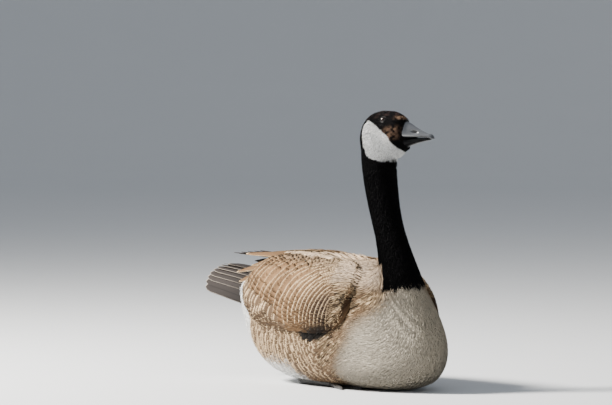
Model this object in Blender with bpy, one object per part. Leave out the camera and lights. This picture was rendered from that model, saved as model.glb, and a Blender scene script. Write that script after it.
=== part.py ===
"""Canada goose resting on its belly, feet tucked under, neck upright and head turned to its left.

Metres, +Z up. The goose looks along -Y and its left side is +X. The origin is on the floor, in the
middle of the flat of the belly. Each sub-part is one closed object.
"""

import math
import random

import bmesh
import bpy
from mathutils import Matrix, Vector

# Gaps and walls
GAP = 0.0003
LEAST_WALL = 0.0006

# Body from tail root to bill root: for each section the place along Y and height of its point on the
# back, nape and crown line, the same for its point on the belly, breast and throat line, its half-width,
# how far up it is widest, its squareness above and below that, and how far it is turned with the head
BODY_SECTIONS = [
    (0.322, 0.160, 0.322, 0.146, 0.012, 0.50, 2.1, 2.1, 0),
    (0.305, 0.168, 0.305, 0.133, 0.028, 0.50, 2.1, 2.1, 0),
    (0.275, 0.178, 0.275, 0.106, 0.042, 0.50, 2.1, 2.2, 0),
    (0.240, 0.190, 0.240, 0.068, 0.058, 0.50, 2.1, 2.2, 0),
    (0.200, 0.202, 0.200, 0.034, 0.077, 0.50, 2.1, 2.3, 0),
    (0.150, 0.210, 0.150, 0.011, 0.094, 0.49, 2.1, 2.3, 0),
    (0.090, 0.213, 0.090, 0.000, 0.105, 0.48, 2.1, 2.4, 0),
    (0.020, 0.214, 0.020, -0.002, 0.110, 0.47, 2.1, 2.4, 0),
    (-0.050, 0.214, -0.050, -0.002, 0.110, 0.45, 2.1, 2.4, 0),
    (-0.092, 0.212, -0.105, -0.002, 0.106, 0.43, 2.05, 2.4, 0),
    (-0.108, 0.211, -0.150, -0.001, 0.099, 0.42, 1.9, 2.3, 0),
    (-0.114, 0.213, -0.190, 0.004, 0.087, 0.41, 1.75, 2.2, 0),
    (-0.115, 0.216, -0.221, 0.018, 0.073, 0.40, 1.75, 2.1, 0),
    (-0.115, 0.219, -0.242, 0.040, 0.059, 0.41, 1.8, 2.1, 0),
    (-0.114, 0.222, -0.249, 0.065, 0.049, 0.43, 1.9, 2.0, 0),
    (-0.113, 0.226, -0.244, 0.090, 0.042, 0.46, 2.0, 2.0, 0),
    (-0.111, 0.230, -0.232, 0.114, 0.038, 0.49, 2.0, 2.0, 0),
    (-0.109, 0.234, -0.218, 0.138, 0.0355, 0.50, 2.0, 2.0, 0),
    (-0.107, 0.239, -0.205, 0.163, 0.0330, 0.50, 2.0, 2.0, 0),
    (-0.104, 0.245, -0.191, 0.189, 0.0303, 0.50, 2.0, 2.0, 0),
    (-0.100, 0.252, -0.176, 0.216, 0.0278, 0.50, 2.0, 2.0, 0),
    (-0.096, 0.262, -0.161, 0.243, 0.0258, 0.50, 2.0, 2.0, 0),
    (-0.089, 0.277, -0.147, 0.270, 0.0252, 0.50, 2.0, 2.0, 0),
    (-0.0805, 0.300, -0.1345, 0.302, 0.0258, 0.50, 2.0, 2.0, 0),
    (-0.0715, 0.326, -0.1265, 0.334, 0.0272, 0.50, 2.0, 2.0, 2),
    (-0.0645, 0.352, -0.1215, 0.362, 0.0284, 0.50, 2.0, 2.0, 6),
    (-0.0600, 0.378, -0.1205, 0.384, 0.0288, 0.50, 2.0, 2.0, 14),
    (-0.0585, 0.400, -0.1225, 0.387, 0.0280, 0.50, 2.0, 2.0, 25),
    (-0.0565, 0.421, -0.1250, 0.388, 0.0272, 0.50, 2.0, 2.0, 33),
    (-0.0605, 0.440, -0.1280, 0.3895, 0.0268, 0.51, 2.05, 2.0, 33),
    (-0.0705, 0.455, -0.1300, 0.391, 0.0265, 0.52, 2.1, 2.0, 33),
    (-0.0850, 0.4635, -0.1320, 0.393, 0.0262, 0.53, 2.15, 2.0, 33),
    (-0.1000, 0.4665, -0.1345, 0.3955, 0.0255, 0.54, 2.2, 2.0, 33),
    (-0.1140, 0.4660, -0.1370, 0.398, 0.0236, 0.54, 2.2, 2.0, 33),
    (-0.1270, 0.4625, -0.1400, 0.4005, 0.0202, 0.52, 2.2, 2.0, 33),
    (-0.1380, 0.4555, -0.1445, 0.4025, 0.0168, 0.50, 2.2, 2.0, 33),
    (-0.1480, 0.4450, -0.1510, 0.4045, 0.0142, 0.48, 2.2, 2.0, 33),
    (-0.1570, 0.4360, -0.1580, 0.4070, 0.0120, 0.46, 2.2, 2.0, 33),
]
BODY_SIDES = 30
# Where along the table the rings of the body's mesh lie, closer on the trunk and skull than on the neck
BODY_RINGS = [0.5 * k for k in range(29)] + list(range(15, 26)) + [25.5 + 0.75 * k for k in range(16)]
LAST_TRUNK_SECTION = 13
TAIL_CUT_Y = 0.222
NECK_CUT = (Vector((0.0, -0.150, 0.212)), Vector((0.0, -0.36, 1.0)))
HEAD_CUT = (Vector((0.0, -0.087, 0.384)), Vector((0.0, 0.20, 1.0)))

# Head: its own frame faces -Y, with its origin on the neck's axis at the height of the mouth
HEAD_PLACE = Vector((0.0, -0.088, 0.4215))
HEAD_TURN = math.radians(33.0)
BILL_CUT = (Vector((0.0, -0.0455, 0.0)), Vector((0.0, -1.0, -0.22)))

# Bill: forward place, underside, top and half-width of each section of the upper mandible
UPPER_BILL_SECTIONS = [
    (0.040, -0.0010, 0.0318, 0.0166),
    (0.049, -0.0005, 0.0287, 0.0152),
    (0.058, 0.0000, 0.0250, 0.0140),
    (0.068, 0.0005, 0.0185, 0.0128),
    (0.080, 0.0010, 0.0118, 0.0118),
    (0.090, 0.0006, 0.0074, 0.0102),
    (0.0975, -0.0012, 0.0048, 0.0078),
    (0.1018, -0.0024, 0.0004, 0.0030),
]
LOWER_BILL_SECTIONS = [
    (0.040, -0.0200, -0.0012, 0.0150),
    (0.048, -0.0178, -0.0010, 0.0136),
    (0.058, -0.0140, -0.0005, 0.0122),
    (0.070, -0.0098, 0.0000, 0.0112),
    (0.081, -0.0068, 0.0004, 0.0100),
    (0.0905, -0.0046, 0.0002, 0.0082),
    (0.0960, -0.0034, -0.0014, 0.0050),
]
BILL_RINGS = 10
BILL_SIDES = 16
NOSTRIL_CENTRE = (0.069, 0.0108)
NOSTRIL_RADII = (0.0062, 0.0030, 0.0019)
NOSTRIL_SIDE = 0.0114
NAIL_RADII = (0.0048, 0.0062, 0.0022)

# Eyes, in the head's frame
EYE_RADIUS = 0.0072
EYE_FORWARD = 0.017
EYE_SIDE = 0.0158
EYE_HEIGHT = 0.0290
LID_RADIUS = 0.0056
LID_THICKNESS = 0.0012

# Wings: place along Y, height of the lower edge, half-width left free on the back, thickness
WING_SECTIONS = [
    (-0.136, 0.150, 0.062, 0.0030),
    (-0.120, 0.118, 0.050, 0.0075),
    (-0.080, 0.103, 0.038, 0.0105),
    (-0.020, 0.104, 0.028, 0.0120),
    (0.050, 0.108, 0.018, 0.0130),
    (0.110, 0.113, 0.010, 0.0150),
    (0.160, 0.126, 0.006, 0.0165),
    (0.200, 0.146, 0.005, 0.0130),
    (0.222, 0.162, 0.006, 0.0060),
]
WING_ROWS = 12
WING_COLUMNS = 8
WING_SINK = 0.004
UPPER_EDGE_SHARE = 0.35

# Coverts: rows from the wing's lower edge to its upper one, each with its height share, the share of the
# wing's length that its roots start and end at, how many there are, and their length and width
COVERT_ROWS = [
    (0.11, 0.06, 0.80, 7, 0.082, 0.041),
    (0.34, 0.03, 0.78, 6, 0.086, 0.046),
    (0.58, 0.01, 0.68, 5, 0.086, 0.046),
    (0.81, 0.03, 0.56, 4, 0.084, 0.043),
]
COVERT_THICKNESS = 0.0018
COVERT_SINK = 0.0030
COVERT_LIFT = 0.0024

# Tertials: root's share of the wing's length and height, tip, width
TERTIALS = [
    (0.66, 0.20, (0.078, 0.206, 0.142), 0.034),
    (0.64, 0.36, (0.068, 0.225, 0.155), 0.036),
    (0.62, 0.53, (0.057, 0.250, 0.169), 0.036),
    (0.60, 0.70, (0.043, 0.278, 0.185), 0.031),
    (0.56, 0.86, (0.022, 0.250, 0.214), 0.036),
]
TERTIAL_THICKNESS = 0.0022

# Primaries: the wing tip crosses the rump, the left wing's above the right one's
PRIMARY_COUNT = 4
PRIMARY_ROOT = (0.036, 0.176, 0.203)
PRIMARY_TIP_X = -0.025
PRIMARY_TIP_Y = 0.318
PRIMARY_STEP_Y = 0.020
PRIMARY_STEP_Z = 0.0021
PRIMARY_WIDTH = 0.021
PRIMARY_THICKNESS = 0.0018
LEFT_TIP_Z = 0.2150
RIGHT_TIP_Z = 0.1960

# Tail: root and tip of the fan of feathers
TAIL_FEATHERS = 16
TAIL_ROOT = (0.234, 0.176)
TAIL_TIP = (0.382, 0.189)
TAIL_ROOT_HALF = 0.045
TAIL_TIP_HALF = 0.057
TAIL_ROOT_ARCH = 0.050
TAIL_TIP_ARCH = 0.036
TAIL_FEATHER_WIDTH = 0.0225
TAIL_FEATHER_THICKNESS = 0.0022
TAIL_SHINGLE = 0.0022

# Legs: the shank lies on the floor, heel behind and toes in front
FOOT_X = 0.052
HEEL_Y = 0.066
ANKLE_Y = -0.026
SHANK_RADIUS = 0.0058
TOE_RADIUS = 0.0043
WEB_LOW = -0.0004
WEB_HIGH = 0.0022
TUCK_ROOF = 0.0135

COLOURS = {
    "torso": (0.30, 0.23, 0.17),
    "neck": (0.008, 0.008, 0.009),
    "head": (0.010, 0.009, 0.009),
    "bill": (0.015, 0.015, 0.018),
    "eye": (0.012, 0.007, 0.005),
    "wing": (0.24, 0.17, 0.12),
    "tail": (0.045, 0.038, 0.034),
    "leg": (0.020, 0.019, 0.018),
}


def curve_through(rows):
    """A function that reads smooth values at a place between rows of (place, value, ...)."""
    places = [row[0] for row in rows]
    columns = list(zip(*[row[1:] for row in rows]))
    slopes = []
    for values in columns:
        steps = [
            (values[i + 1] - values[i]) / (places[i + 1] - places[i])
            for i in range(len(values) - 1)
        ]
        inner = [
            0.0 if a * b <= 0 else 2 * a * b / (a + b)
            for a, b in zip(steps, steps[1:])
        ]
        slopes.append([steps[0], *inner, steps[-1]])

    def read(place):
        i = max(0, min(len(places) - 2, sum(p <= place for p in places) - 1))
        span = places[i + 1] - places[i]
        t = min(1.0, max(0.0, (place - places[i]) / span))
        out = []
        for values, slope in zip(columns, slopes):
            low = (1 + 2 * t) * (1 - t) ** 2 * values[i] + t * (1 - t) ** 2 * span * slope[i]
            high = t * t * (3 - 2 * t) * values[i + 1] + t * t * (t - 1) * span * slope[i + 1]
            out.append(low + high)
        return out

    return read


def new_object(name, vertices, faces):
    """An object whose closed mesh has its faces pointing outwards."""
    mesh = bpy.data.meshes.new(name)
    mesh.from_pydata([tuple(v) for v in vertices], [], faces)
    edit = bmesh.new()
    edit.from_mesh(mesh)
    bmesh.ops.remove_doubles(edit, verts=edit.verts, dist=1e-7)
    bmesh.ops.recalc_face_normals(edit, faces=edit.faces)
    edit.to_mesh(mesh)
    edit.free()
    obj = bpy.data.objects.new(name, mesh)
    bpy.context.scene.collection.objects.link(obj)
    return obj


def loft(name, rings, thin=False):
    """A closed solid through rings of equally many points. A thin one's rings run along its lower face
    and back along its upper one: both faces are split into triangles alike."""
    sides = len(rings[0])
    turn = sides // 2 if thin else sides
    vertices = [point for ring in rings for point in ring]
    faces = []
    for i in range(len(rings) - 1):
        for j in range(sides):
            a, b = i * sides + j, i * sides + (j + 1) % sides
            c, d = b + sides, a + sides
            if j < turn:
                faces += [(a, b, c), (a, c, d)]
            else:
                faces += [(a, b, d), (b, c, d)]
    for start in (0, (len(rings) - 1) * sides):
        if thin:
            for j in range(sides // 2 - 1):
                a, b, c, d = start + j, start + j + 1, start + sides - 2 - j, start + sides - 1 - j
                faces += [(a, b, c), (a, c, d)]
        else:
            vertices.append(sum(vertices[start:start + sides], Vector()) / sides)
            centre = len(vertices) - 1
            faces += [(start + j, start + (j + 1) % sides, centre) for j in range(sides)]
    return new_object(name, vertices, faces)


def join(target, others, operation="UNION", solver="EXACT"):
    """Applies one Boolean of target with all the others, which are then removed."""
    tools = bpy.data.collections.new("tools")
    bpy.context.scene.collection.children.link(tools)
    for other in others:
        bpy.context.scene.collection.objects.unlink(other)
        tools.objects.link(other)
    boolean = target.modifiers.new(operation, "BOOLEAN")
    boolean.operation = operation
    boolean.operand_type = "COLLECTION"
    boolean.collection = tools
    boolean.solver = solver
    bpy.context.view_layer.update()
    graph = bpy.context.evaluated_depsgraph_get()
    made = bpy.data.meshes.new_from_object(target.evaluated_get(graph))
    target.modifiers.clear()
    target.data = made
    for other in others:
        bpy.data.objects.remove(other)
    bpy.data.collections.remove(tools)
    return target


def keep_largest(obj):
    """Leaves only the largest closed surface of the object."""
    edit = bmesh.new()
    edit.from_mesh(obj.data)
    left = set(edit.verts)
    groups = []
    while left:
        stack = [left.pop()]
        group = set(stack)
        while stack:
            for edge in stack.pop().link_edges:
                for vertex in edge.verts:
                    if vertex in left:
                        left.discard(vertex)
                        group.add(vertex)
                        stack.append(vertex)
        groups.append(group)
    kept = max(groups, key=len)
    loose = [vertex for group in groups if group is not kept for vertex in group]
    bmesh.ops.delete(edit, geom=loose, context="VERTS")
    edit.to_mesh(obj.data)
    edit.free()
    return obj


def split_into_triangles(obj):
    """Takes out the vertices that lie within an edge, then splits every face into triangles."""
    edit = bmesh.new()
    edit.from_mesh(obj.data)
    within = [vertex for vertex in edit.verts if len(vertex.link_edges) == 2]
    bmesh.ops.dissolve_verts(edit, verts=within)
    bmesh.ops.triangulate(edit, faces=edit.faces, ngon_method="BEAUTY")
    edit.to_mesh(obj.data)
    edit.free()
    return obj


def slice_off(obj, point, direction):
    """Cuts away all that lies beyond the plane, and closes the cut with a flat face."""
    edit = bmesh.new()
    edit.from_mesh(obj.data)
    everything = edit.verts[:] + edit.edges[:] + edit.faces[:]
    bmesh.ops.bisect_plane(
        edit, geom=everything, plane_co=point, plane_no=direction, clear_outer=True, dist=1e-7
    )
    open_edges = [edge for edge in edit.edges if edge.is_boundary]
    bmesh.ops.holes_fill(edit, edges=open_edges, sides=0)
    bmesh.ops.recalc_face_normals(edit, faces=edit.faces)
    edit.to_mesh(obj.data)
    edit.free()
    return obj


def copy_of(obj, name):
    made = bpy.data.objects.new(name, obj.data.copy())
    bpy.context.scene.collection.objects.link(made)
    return made


def rounded(angle, squareness_above, squareness_below):
    """Across and up shares of a point of a squared oval."""
    across, up = math.cos(angle), math.sin(angle)
    power = 2 / (squareness_above if up > 0 else squareness_below)
    return math.copysign(abs(across) ** power, across), math.copysign(abs(up) ** power, up)


def oval(place, bottom, top, half_width, sides, squareness, widest_share):
    """A ring of points round a section that stands across the Y axis."""
    widest = bottom + widest_share * (top - bottom)
    ring = []
    for k in range(sides):
        across, up = rounded(2 * math.pi * k / sides, squareness, squareness)
        reach = top - widest if up > 0 else widest - bottom
        ring.append(Vector((half_width * across, place, widest + reach * up)))
    return ring


def round_places(first, last, count):
    """Places from first to last that crowd towards both ends, as a rounded shape needs."""
    middle, half = (first + last) / 2, (last - first) / 2
    return [middle - half * math.cos(math.pi * i / (count - 1)) for i in range(count)]


read_body = curve_through([(index, *row) for index, row in enumerate(BODY_SECTIONS)])


def body_point(section, angle, grow=0.0):
    """A point of the body's surface: section counts along the table, angle goes round from the left side
    over the back."""
    top_y, top_z, low_y, low_z, half_width, widest_share, above, below, turn = read_body(section)
    top, low = Vector((0, top_y, top_z)), Vector((0, low_y, low_z))
    up = (top - low).normalized()
    top, low = top + up * grow, low - up * grow
    widest = low.lerp(top, widest_share)
    across, rise = rounded(angle, above, below)
    reach = (top - widest).length if rise > 0 else (widest - low).length
    point = widest + up * reach * rise + Vector(((half_width + grow) * across, 0, 0))
    if turn > 0:
        axis = Matrix.Translation((0, HEAD_PLACE.y, 0))
        point = axis @ Matrix.Rotation(math.radians(turn), 4, "Z") @ axis.inverted() @ point
    return point


def body_normal(section, angle):
    along = body_point(section + 0.02, angle) - body_point(section - 0.02, angle)
    around = body_point(section, angle + 0.02) - body_point(section, angle - 0.02)
    return around.cross(along).normalized()


def body_solid(name, last_section, grow=0.0):
    """The body from the tail root to a section of the table, grown on all sides by grow."""
    turns = [2 * math.pi * k / BODY_SIDES for k in range(BODY_SIDES)]
    sections = [section for section in BODY_RINGS if section <= last_section]
    return loft(name, [[body_point(section, turn, grow) for turn in turns] for section in sections])


def head_to_world(obj):
    """Moves a mesh from the head's own frame to its place on the turned neck."""
    obj.data.transform(Matrix.Translation(HEAD_PLACE) @ Matrix.Rotation(HEAD_TURN, 4, "Z"))
    return obj


def head_direction(direction):
    return Matrix.Rotation(HEAD_TURN, 3, "Z") @ Vector(direction)


def ball(name, centre, radii, columns=14, rows=9):
    vertices = [Vector((0, 0, -1)), Vector((0, 0, 1))]
    for i in range(1, rows):
        tilt = math.pi * i / rows - math.pi / 2
        for j in range(columns):
            turn = 2 * math.pi * j / columns
            flat = math.cos(tilt)
            vertices.append(Vector((flat * math.cos(turn), flat * math.sin(turn), math.sin(tilt))))
    faces = []
    for j in range(columns):
        after = (j + 1) % columns
        faces.append((0, 2 + after, 2 + j))
        top = 2 + (rows - 2) * columns
        faces.append((1, top + j, top + after))
        for i in range(rows - 2):
            low = 2 + i * columns
            faces.append((low + j, low + after, low + columns + after, low + columns + j))
    scaled = [v * Vector(radii) + Vector(centre) for v in vertices]
    return new_object(name, scaled, faces)


def ring_solid(name, centre, normal, radius, thickness, around=16, sides=6):
    """A round rim of round section."""
    normal = Vector(normal).normalized()
    first = normal.orthogonal().normalized()
    second = normal.cross(first)
    vertices, faces = [], []
    for i in range(around):
        turn = 2 * math.pi * i / around
        out = math.cos(turn) * first + math.sin(turn) * second
        for j in range(sides):
            angle = 2 * math.pi * j / sides
            reach = out * (radius + thickness * math.cos(angle))
            vertices.append(Vector(centre) + reach + normal * thickness * math.sin(angle))
            a, b = i * sides + j, i * sides + (j + 1) % sides
            c, d = ((i + 1) % around) * sides + (j + 1) % sides, ((i + 1) % around) * sides + j
            faces.append((a, b, c, d))
    return new_object(name, vertices, faces)


def eye_centre(side):
    return Vector((side * EYE_SIDE, -EYE_FORWARD, EYE_HEIGHT))


def eye_looks(side):
    return Vector((side * 1.0, -0.28, 0.16)).normalized()


def bodies():
    """The torso, neck, head and tail root, modelled whole and parted with thin cuts."""
    trunk = body_solid("trunk", len(BODY_SECTIONS) - 1)
    lids = []
    for side in (1, -1):
        rim = eye_centre(side) + eye_looks(side) * math.sqrt(EYE_RADIUS ** 2 - LID_RADIUS ** 2)
        lids.append(head_to_world(ring_solid("lid", rim, eye_looks(side), LID_RADIUS, LID_THICKNESS)))
    whole = join(trunk, lids)

    half_gap = GAP / 2
    pieces = {}
    torso = copy_of(whole, "torso")
    point, up = NECK_CUT
    slice_off(torso, point - up.normalized() * half_gap, up)
    slice_off(torso, Vector((0, TAIL_CUT_Y - half_gap, 0)), Vector((0, 1, 0)))
    slice_off(torso, Vector((0, 0, 0)), Vector((0, 0, -1)))
    pieces["torso"] = torso

    neck = copy_of(whole, "neck")
    slice_off(neck, point + up.normalized() * half_gap, -up)
    point, up = HEAD_CUT
    slice_off(neck, point - up.normalized() * half_gap, up)
    pieces["neck"] = neck

    head = copy_of(whole, "head")
    slice_off(head, point + up.normalized() * half_gap, -up)
    point, forward = BILL_CUT
    forward = head_direction(forward).normalized()
    point = HEAD_PLACE + head_direction(point)
    slice_off(head, point - forward * half_gap, forward)
    sockets = [
        head_to_world(ball("socket", eye_centre(side), [EYE_RADIUS + GAP] * 3))
        for side in (1, -1)
    ]
    join(head, sockets, "DIFFERENCE")
    pieces["head"] = keep_largest(head)

    root = copy_of(whole, "tail_root")
    slice_off(root, Vector((0, TAIL_CUT_Y + half_gap, 0)), Vector((0, -1, 0)))
    pieces["tail_root"] = root
    bpy.data.objects.remove(whole)
    return pieces


def bill_loft(name, sections, squareness, widest_share):
    read = curve_through(sections)
    rings = []
    for place in round_places(sections[0][0], sections[-1][0], 2 * BILL_RINGS)[BILL_RINGS // 4::2]:
        bottom, top, half_width = read(place)
        rings.append(oval(-place, bottom, top, half_width, BILL_SIDES, squareness, widest_share))
    end = sections[-1]
    rings.append(oval(-end[0], end[1], end[2], end[3], BILL_SIDES, squareness, widest_share))
    start = sections[0]
    rings.insert(0, oval(-start[0], start[1], start[2], start[3], BILL_SIDES, squareness, widest_share))
    return loft(name, rings)


def bill():
    """Both mandibles, cut square to the feathers at the bill's root."""
    upper = bill_loft("bill_upper", UPPER_BILL_SECTIONS, 2.3, 0.22)
    forward, height = NOSTRIL_CENTRE
    nail_place = UPPER_BILL_SECTIONS[-2]
    nail = ball("nail", (0, -nail_place[0] + 0.001, 0.0030), NAIL_RADII, 12, 8)
    join(upper, [nail])
    long_half, deep, high = NOSTRIL_RADII
    holes = [
        ball("nostril", (side * NOSTRIL_SIDE, -forward, height), (deep, long_half, high), 12, 8)
        for side in (1, -1)
    ]
    join(upper, holes, "DIFFERENCE")
    lower = bill_loft("bill_lower", LOWER_BILL_SECTIONS, 2.2, 0.72)
    point, forward = BILL_CUT
    for half in (upper, lower):
        slice_off(half, point + forward.normalized() * GAP / 2, -forward)
    clear = copy_of(upper, "clearance")
    clear.data.transform(Matrix.Translation((0, 0, -GAP)))
    join(lower, [clear], "DIFFERENCE")
    return [head_to_world(keep_largest(half)) for half in (upper, lower)]


def eyes():
    made = []
    for side, name in ((1, "eye_left"), (-1, "eye_right")):
        made.append(head_to_world(ball(name, eye_centre(side), [EYE_RADIUS] * 3, 16, 10)))
    return made


wing_section = curve_through(WING_SECTIONS)


def nearest(low, high, value, measure):
    """Where between low and high a rising measure reaches the value."""
    for _ in range(30):
        middle = (low + high) / 2
        if measure(middle) < value:
            low = middle
        else:
            high = middle
    return (low + high) / 2


def section_at(place):
    """The section whose side is at a place along Y, on the trunk."""
    return nearest(0.0, LAST_TRUNK_SECTION, -place, lambda section: -body_point(section, 0.0).y)


def wing_angles(section, place):
    """Where round a section the wing's lower and upper edges lie."""
    lower_edge, free_half = wing_section(place)[:2]
    quarter = math.pi / 2
    low = nearest(-quarter, quarter, lower_edge, lambda angle: body_point(section, angle).z)
    high = nearest(0.0, quarter, -free_half, lambda angle: -body_point(section, angle).x)
    return low, high


def wing_surface(u, v, lift=0.0):
    """A point of the left wing's outer surface, its normal and the body point under it: u runs from the
    bend to the rear, v from the lower to the upper edge."""
    place = WING_SECTIONS[0][0] + u * (WING_SECTIONS[-1][0] - WING_SECTIONS[0][0])
    section = section_at(place)
    low, high = wing_angles(section, place)
    angle = low + v * (high - low)
    normal = body_normal(section, angle)
    swell = math.sin(math.pi * v) ** 0.5 if v < 0.5 else 1 - (1 - UPPER_EDGE_SHARE) * (2 * v - 1) ** 2
    thickness = 0.0015 + (wing_section(place)[2] - 0.0015) * swell
    under = body_point(section, angle)
    return under + normal * (thickness + lift), normal, under


def wing_shell():
    """The folded wing as a shell on the side of the torso, its inner face sunk in it for the cut."""
    rows, columns = WING_ROWS, WING_COLUMNS
    outer, inner = [], []
    for i in range(rows + 1):
        for j in range(columns + 1):
            point, normal, under = wing_surface(i / rows, j / columns)
            outer.append(point)
            inner.append(under - normal * WING_SINK)
    vertices = outer + inner
    half = len(outer)
    width = columns + 1
    faces = []
    for i in range(rows):
        for j in range(columns):
            a, b, c, d = i * width + j, i * width + j + 1, (i + 1) * width + j + 1, (i + 1) * width + j
            faces.append((a, b, c, d))
            faces.append((half + d, half + c, half + b, half + a))
    rim = [j for j in range(columns)] + [i * width + columns for i in range(rows)]
    rim += [rows * width + j for j in range(columns, 0, -1)] + [i * width for i in range(rows, 0, -1)]
    for a, b in zip(rim, rim[1:] + rim[:1]):
        faces.append((a, half + a, half + b, b))
    return new_object("wing_shell", vertices, faces)


def vane(name, root, middle, tip, root_normal, tip_normal, width, thickness, **shape):
    """A feather vane along a curve through root and tip: narrow at the root, widest past the middle,
    round at the tip, thickest along its shaft."""
    stations = shape.get("stations", 5)
    camber = shape.get("camber", 0.10)
    root_share = shape.get("root_share", 0.5)
    rings = []
    for i in range(stations):
        t = i / (stations - 1)
        centre = root * (1 - t) ** 2 + middle * 2 * t * (1 - t) + tip * t * t
        along = ((middle - root) * (1 - t) + (tip - middle) * t).normalized()
        side = along.cross(root_normal.lerp(tip_normal, t)).normalized()
        up = side.cross(along).normalized()
        rise = root_share + (1 - root_share) * math.sin(math.pi / 2 * min(1.0, t / 0.5))
        fall = math.sqrt(max(0.0, 1 - max(0.0, (t - 0.55) / 0.48) ** 2))
        half = width / 2 * rise * fall
        thick = thickness * (1 - 0.4 * t) / 2
        edge = LEAST_WALL / 2
        drop = camber * half
        rings.append([
            centre - side * half - up * (drop + edge),
            centre - up * thick,
            centre + side * half - up * (drop + edge),
            centre + side * half - up * (drop - edge),
            centre + up * thick,
            centre - side * half - up * (drop - edge),
        ])
    return loft(name, rings, thin=True)


def mirrored(obj, name):
    """The same shape on the other side of the body."""
    made = copy_of(obj, name)
    made.data.transform(Matrix.Scale(-1, 4, (1, 0, 0)))
    made.data.flip_normals()
    return made


def coverts(chance):
    """Rows of overlapping coverts on the folded wing, each sunk at its root and lifted at its tip."""
    length = WING_SECTIONS[-1][0] - WING_SECTIONS[0][0]
    made = []
    for row, (v, first, last, count, reach, width) in enumerate(COVERT_ROWS):
        for k in range(count):
            u = first + (last - first) * (k + 0.5 * (row % 2)) / count
            size = chance.uniform(0.93, 1.07)
            end_u = min(1.0, u + reach * size / length)
            end_v = v - 0.05 * chance.uniform(0.4, 1.4)
            root, root_normal, _ = wing_surface(u, v, -COVERT_SINK)
            lift = COVERT_LIFT * (1 - 0.5 * v)
            middle = wing_surface((u + end_u) / 2, (v + end_v) / 2, lift)[0]
            tip, tip_normal, _ = wing_surface(end_u, end_v, lift * chance.uniform(0.8, 1.1))
            made.append(vane(
                "covert", root, middle, tip, root_normal, tip_normal, width * size, COVERT_THICKNESS,
                stations=4
            ))
    return made


def tertials(chance):
    made = []
    for k, (u, v, tip, width) in enumerate(TERTIALS):
        root, root_normal, _ = wing_surface(u, v, -COVERT_SINK)
        middle = wing_surface(min(1.0, u + 0.22), v, 0.0045 + 0.001 * k)[0]
        end = Vector(tip) + Vector((0, chance.uniform(-0.003, 0.003), 0))
        tip_normal = wing_surface(0.97, v)[1].lerp(Vector((0, 0, 1)), 0.3).normalized()
        made.append(vane(
            "tertial", root, middle, end, root_normal, tip_normal, width, TERTIAL_THICKNESS
        ))
    return made


def primaries(tip_z, chance):
    """The stacked wing tip, longest feather lowest."""
    made = []
    up = Vector((0, 0, 1))
    for k in range(PRIMARY_COUNT):
        lift = Vector((0, 0, PRIMARY_STEP_Z * k))
        root = Vector(PRIMARY_ROOT) - Vector((0, 0, 0.004)) + lift * 0.5
        tip_y = PRIMARY_TIP_Y - PRIMARY_STEP_Y * k * chance.uniform(0.9, 1.1)
        tip = Vector((PRIMARY_TIP_X + 0.0075 * k, tip_y, tip_z)) + lift
        middle = root.lerp(tip, 0.5) + Vector((0.012, 0, 0.004))
        made.append(vane(
            "primary", root, middle, tip, up, up, PRIMARY_WIDTH, PRIMARY_THICKNESS, root_share=0.8
        ))
    return made


def wings():
    """Both folded wings with their feathers, each parted from the torso and tail by the gap."""
    made = []
    for name, tip_z, seed in (("wing_left", LEFT_TIP_Z, 11), ("wing_right", RIGHT_TIP_Z, 23)):
        chance = random.Random(seed)
        shell = wing_shell()
        join(shell, [*coverts(chance), *tertials(chance), *primaries(tip_z, chance)])
        join(shell, [body_solid("clearance", LAST_TRUNK_SECTION + 6, GAP)], "DIFFERENCE")
        split_into_triangles(keep_largest(shell))
        wing = copy_of(shell, name) if name == "wing_left" else mirrored(shell, name)
        bpy.data.objects.remove(shell)
        made.append(wing)
    return made


def tail(root):
    """The tail root with its fan of overlapping feathers, the middle ones on top."""
    chance = random.Random(5)
    made = []
    for k in range(TAIL_FEATHERS):
        s = (2 * k + 1) / TAIL_FEATHERS - 1
        start = Vector((TAIL_ROOT_HALF * s, TAIL_ROOT[0], TAIL_ROOT[1] - TAIL_ROOT_ARCH * s * s))
        end_y = TAIL_TIP[0] - 0.005 * s ** 2 - 0.022 * s ** 6
        end = Vector((TAIL_TIP_HALF * s, end_y, TAIL_TIP[1] - TAIL_TIP_ARCH * s * s))
        end.y += chance.uniform(-0.0015, 0.0015)
        roll = 2 * TAIL_ROOT_ARCH * s / TAIL_ROOT_HALF * 0.8
        shingle = 0.10 if s > 0 else -0.10
        normal = Vector((roll * 0.75 + shingle, 0, 1)).normalized()
        middle = start.lerp(end, 0.5) + Vector((0, 0, 0.003))
        for point in (start, middle, end):
            point.z += TAIL_SHINGLE * (1 - abs(s))
        made.append(vane(
            "rectrix", start, middle, end, normal, normal, TAIL_FEATHER_WIDTH, TAIL_FEATHER_THICKNESS,
            stations=4, camber=0.06, root_share=0.7
        ))
    root.name = "tail"
    return [keep_largest(join(root, made))]


def tube(name, points, radii, sides=10):
    """A round tapered limb through points, with closed ends."""
    rings = []
    for i, point in enumerate(points):
        along = (points[min(i + 1, len(points) - 1)] - points[max(i - 1, 0)]).normalized()
        first = along.cross(Vector((0, 0, 1)))
        first = first.normalized() if first.length > 0.2 else Vector((1, 0, 0))
        second = first.cross(along)
        rings.append([
            point + radii[i] * (math.cos(a) * first + math.sin(a) * second)
            for a in [2 * math.pi * k / sides for k in range(sides)]
        ])
    return loft(name, rings)


# Along a toe: share of its length, height of its centre line and share of its thickness
TOE_PROFILE = [
    (0.0, 0.0055, 1.0),
    (0.3, 0.0042, 0.95),
    (0.6, 0.0037, 0.88),
    (0.85, 0.0033, 0.78),
    (0.93, 0.0034, 0.55),
    (1.0, 0.0020, 0.22),
]
TOES = [
    ("inner", -0.026, -0.066, 0.92),
    ("middle", -0.003, -0.088, 1.0),
    ("outer", 0.027, -0.071, 0.92),
]


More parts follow.
